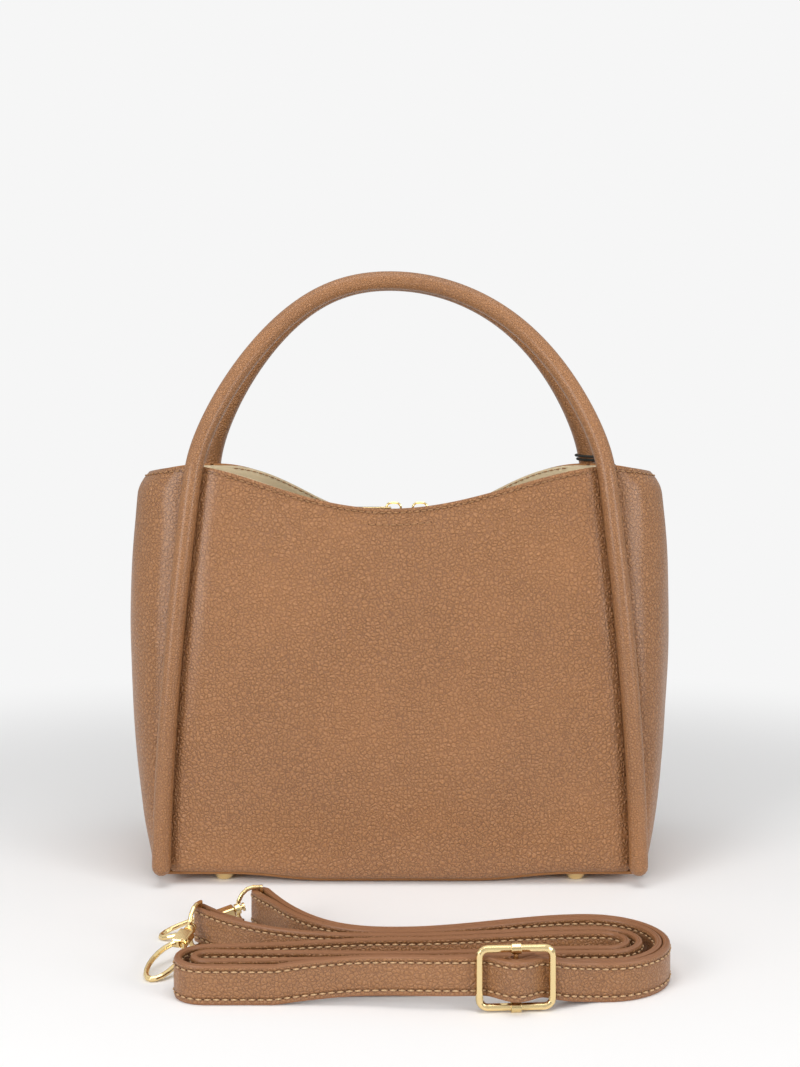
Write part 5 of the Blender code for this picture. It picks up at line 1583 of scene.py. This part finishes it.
def make_world():
    """An even world: pale to the camera, soft as light, and darker from below in reflections."""
    studio = Shader(bpy.data.worlds.new("Studio"))
    stage = bpy.context.scene.bag_stage
    rays = studio.add("ShaderNodeLightPath", output="Is Camera Ray")
    around = studio.add("ShaderNodeTexCoord", output="Generated")
    height = studio.add("ShaderNodeSeparateXYZ", None, {0: around}, "Z")
    bands = studio.add("ShaderNodeValToRGB", {"stops": ((0.05, 0.12), (0.75, 1.0))}, {0: height})
    shown = rays.math("MAXIMUM", rays.other("Is Glossy Ray") * bands)
    clear = shown.math("MAXIMUM", rays.other("Is Transmission Ray"))
    pale = studio.add("ShaderNodeBackground", None, {"Color": colours().floor, "Strength": 1.0})
    soft = studio.add("ShaderNodeBackground", None,
                      {"Color": (1.0, 1.0, 1.0), "Strength": stage.ambient})
    mixed = studio.add("ShaderNodeMixShader", None, {0: clear, 1: soft, 2: pale})
    studio.end("World Output", mixed)
    bpy.context.scene.world = studio.home


def floor_finish():
    """Pale floor that takes the set's soft shadow near it and runs out into the backdrop."""
    shader = new_material("Floor")
    place = shader.place()
    reach = shader.add("ShaderNodeVectorMath", {"operation": "LENGTH"}, {0: place}, "Value")
    far = shader.ease(reach, 0.32, 0.75)
    paper = shader.noise(place, 300.0)
    tone = shader.blend(paper * 0.02, (0.965, 0.965, 0.965), (0.9, 0.9, 0.9))
    shader.set(Base_Color=tone, Roughness=0.9, Specular_IOR_Level=0.1)
    glow = shader.add("ShaderNodeEmission", None, {"Color": colours().floor, "Strength": 1.0})
    near = Link(shader, shader.surface.outputs[0])
    shader.end("Material Output", shader.add("ShaderNodeMixShader", None, {0: far, 1: near, 2: glow}))
    return shader.home


def make_floor():
    """A round floor whose edge melts into the backdrop."""
    shape = bmesh.new()
    bmesh.ops.create_circle(shape, cap_ends=True, segments=96, radius=3.0)
    mesh = bpy.data.meshes.new("Floor")
    shape.to_mesh(mesh)
    shape.free()
    mesh.materials.append(floor_finish())
    add_object("Floor", mesh)


# Operators, the panel and the run


class BAG_OT_stage(bpy.types.Operator):
    """Make the camera, the world, the floor and the lamps."""
    bl_idname = "bag.stage"
    bl_label = "Stage"

    def execute(self, context):
        context.scene.view_settings.view_transform = "Standard"
        make_camera()
        make_world()
        make_floor()
        make_lamps()
        return {"FINISHED"}


class BAG_OT_tag(bpy.types.Operator):
    """Make the elastic and its blank tag."""
    bl_idname = "bag.tag"
    bl_label = "Tag"

    def execute(self, context):
        make_tag()
        return {"FINISHED"}


class BAG_OT_panels(bpy.types.Operator):
    """Make the front and back leather with their stitches."""
    bl_idname = "bag.panels"
    bl_label = "Panels"

    def execute(self, context):
        for side in PANELS:
            make_wall(side.title() + "_leather", side + "_panel", panel_rule(side), "body leather")
        make_magnet_row()
        return {"FINISHED"}


class BAG_OT_gussets(bpy.types.Operator):
    """Make the two side walls with their stitches."""
    bl_idname = "bag.gussets"
    bl_label = "Gussets"

    def execute(self, context):
        for side in GUSSETS:
            make_wall(side.title() + "_gusset", side + "_gusset", gusset_rule(side), "gusset leather")
        return {"FINISHED"}


class BAG_OT_base(bpy.types.Operator):
    """Make the leather base."""
    bl_idname = "bag.base"
    bl_label = "Base"

    def execute(self, context):
        make_base()
        return {"FINISHED"}


class BAG_OT_handles(bpy.types.Operator):
    """Make the rolled handles, which run on down the corners."""
    bl_idname = "bag.handles"
    bl_label = "Handles"

    def execute(self, context):
        make_handles()
        return {"FINISHED"}


class BAG_OT_inside(bpy.types.Operator):
    """Make the lining, the compartment, the zip's teeth and the ring tabs."""
    bl_idname = "bag.inside"
    bl_label = "Inside"

    def execute(self, context):
        make_lining()
        make_compartment()
        make_teeth()
        make_ring_tabs()
        return {"FINISHED"}


class BAG_OT_strap(bpy.types.Operator):
    """Make the folded shoulder strap."""
    bl_idname = "bag.strap"
    bl_label = "Strap"

    def execute(self, context):
        make_strap()
        return {"FINISHED"}


class BAG_OT_hardware(bpy.types.Operator):
    """Give the metal pieces of the frame their finishes."""
    bl_idname = "bag.hardware"
    bl_label = "Hardware"

    def execute(self, context):
        dress_hardware()
        return {"FINISHED"}


class BAG_PT_pieces(bpy.types.Panel):
    """Sizes, colours and pieces of the tote bag."""
    bl_label = "Tote bag"
    bl_space_type = "VIEW_3D"
    bl_region_type = "UI"
    bl_category = "Tote bag"

    def draw(self, context):
        for operator in OPERATORS:
            self.layout.operator(operator.bl_idname)
        for group in (context.scene.bag_sizes, context.scene.bag_colours, context.scene.bag_stage):
            for name in type(group).__annotations__:
                self.layout.prop(group, name)


OPERATORS = (BAG_OT_stage, BAG_OT_tag, BAG_OT_panels, BAG_OT_gussets, BAG_OT_base, BAG_OT_handles,
             BAG_OT_inside, BAG_OT_strap, BAG_OT_hardware)
CLASSES = (BagSizes, BagColours, StageSizes) + OPERATORS + (BAG_PT_pieces,)


def register():
    """Register the classes and hang the sizes, colours and stage on the scene."""
    for item in CLASSES:
        bpy.utils.register_class(item)
    bpy.types.Scene.bag_sizes = bpy.props.PointerProperty(type=BagSizes)
    bpy.types.Scene.bag_colours = bpy.props.PointerProperty(type=BagColours)
    bpy.types.Scene.bag_stage = bpy.props.PointerProperty(type=StageSizes)


def unregister():
    """Undo what register does."""
    del bpy.types.Scene.bag_stage
    del bpy.types.Scene.bag_colours
    del bpy.types.Scene.bag_sizes
    for item in reversed(CLASSES):
        bpy.utils.unregister_class(item)


def main():
    """Make everything, the camera and the cord first."""
    register()
    bpy.ops.bag.stage()
    bpy.ops.bag.tag()
    bpy.ops.bag.panels()
    bpy.ops.bag.gussets()
    bpy.ops.bag.base()
    bpy.ops.bag.handles()
    bpy.ops.bag.inside()
    bpy.ops.bag.strap()
    bpy.ops.bag.hardware()


if __name__ == "__main__":
    main()
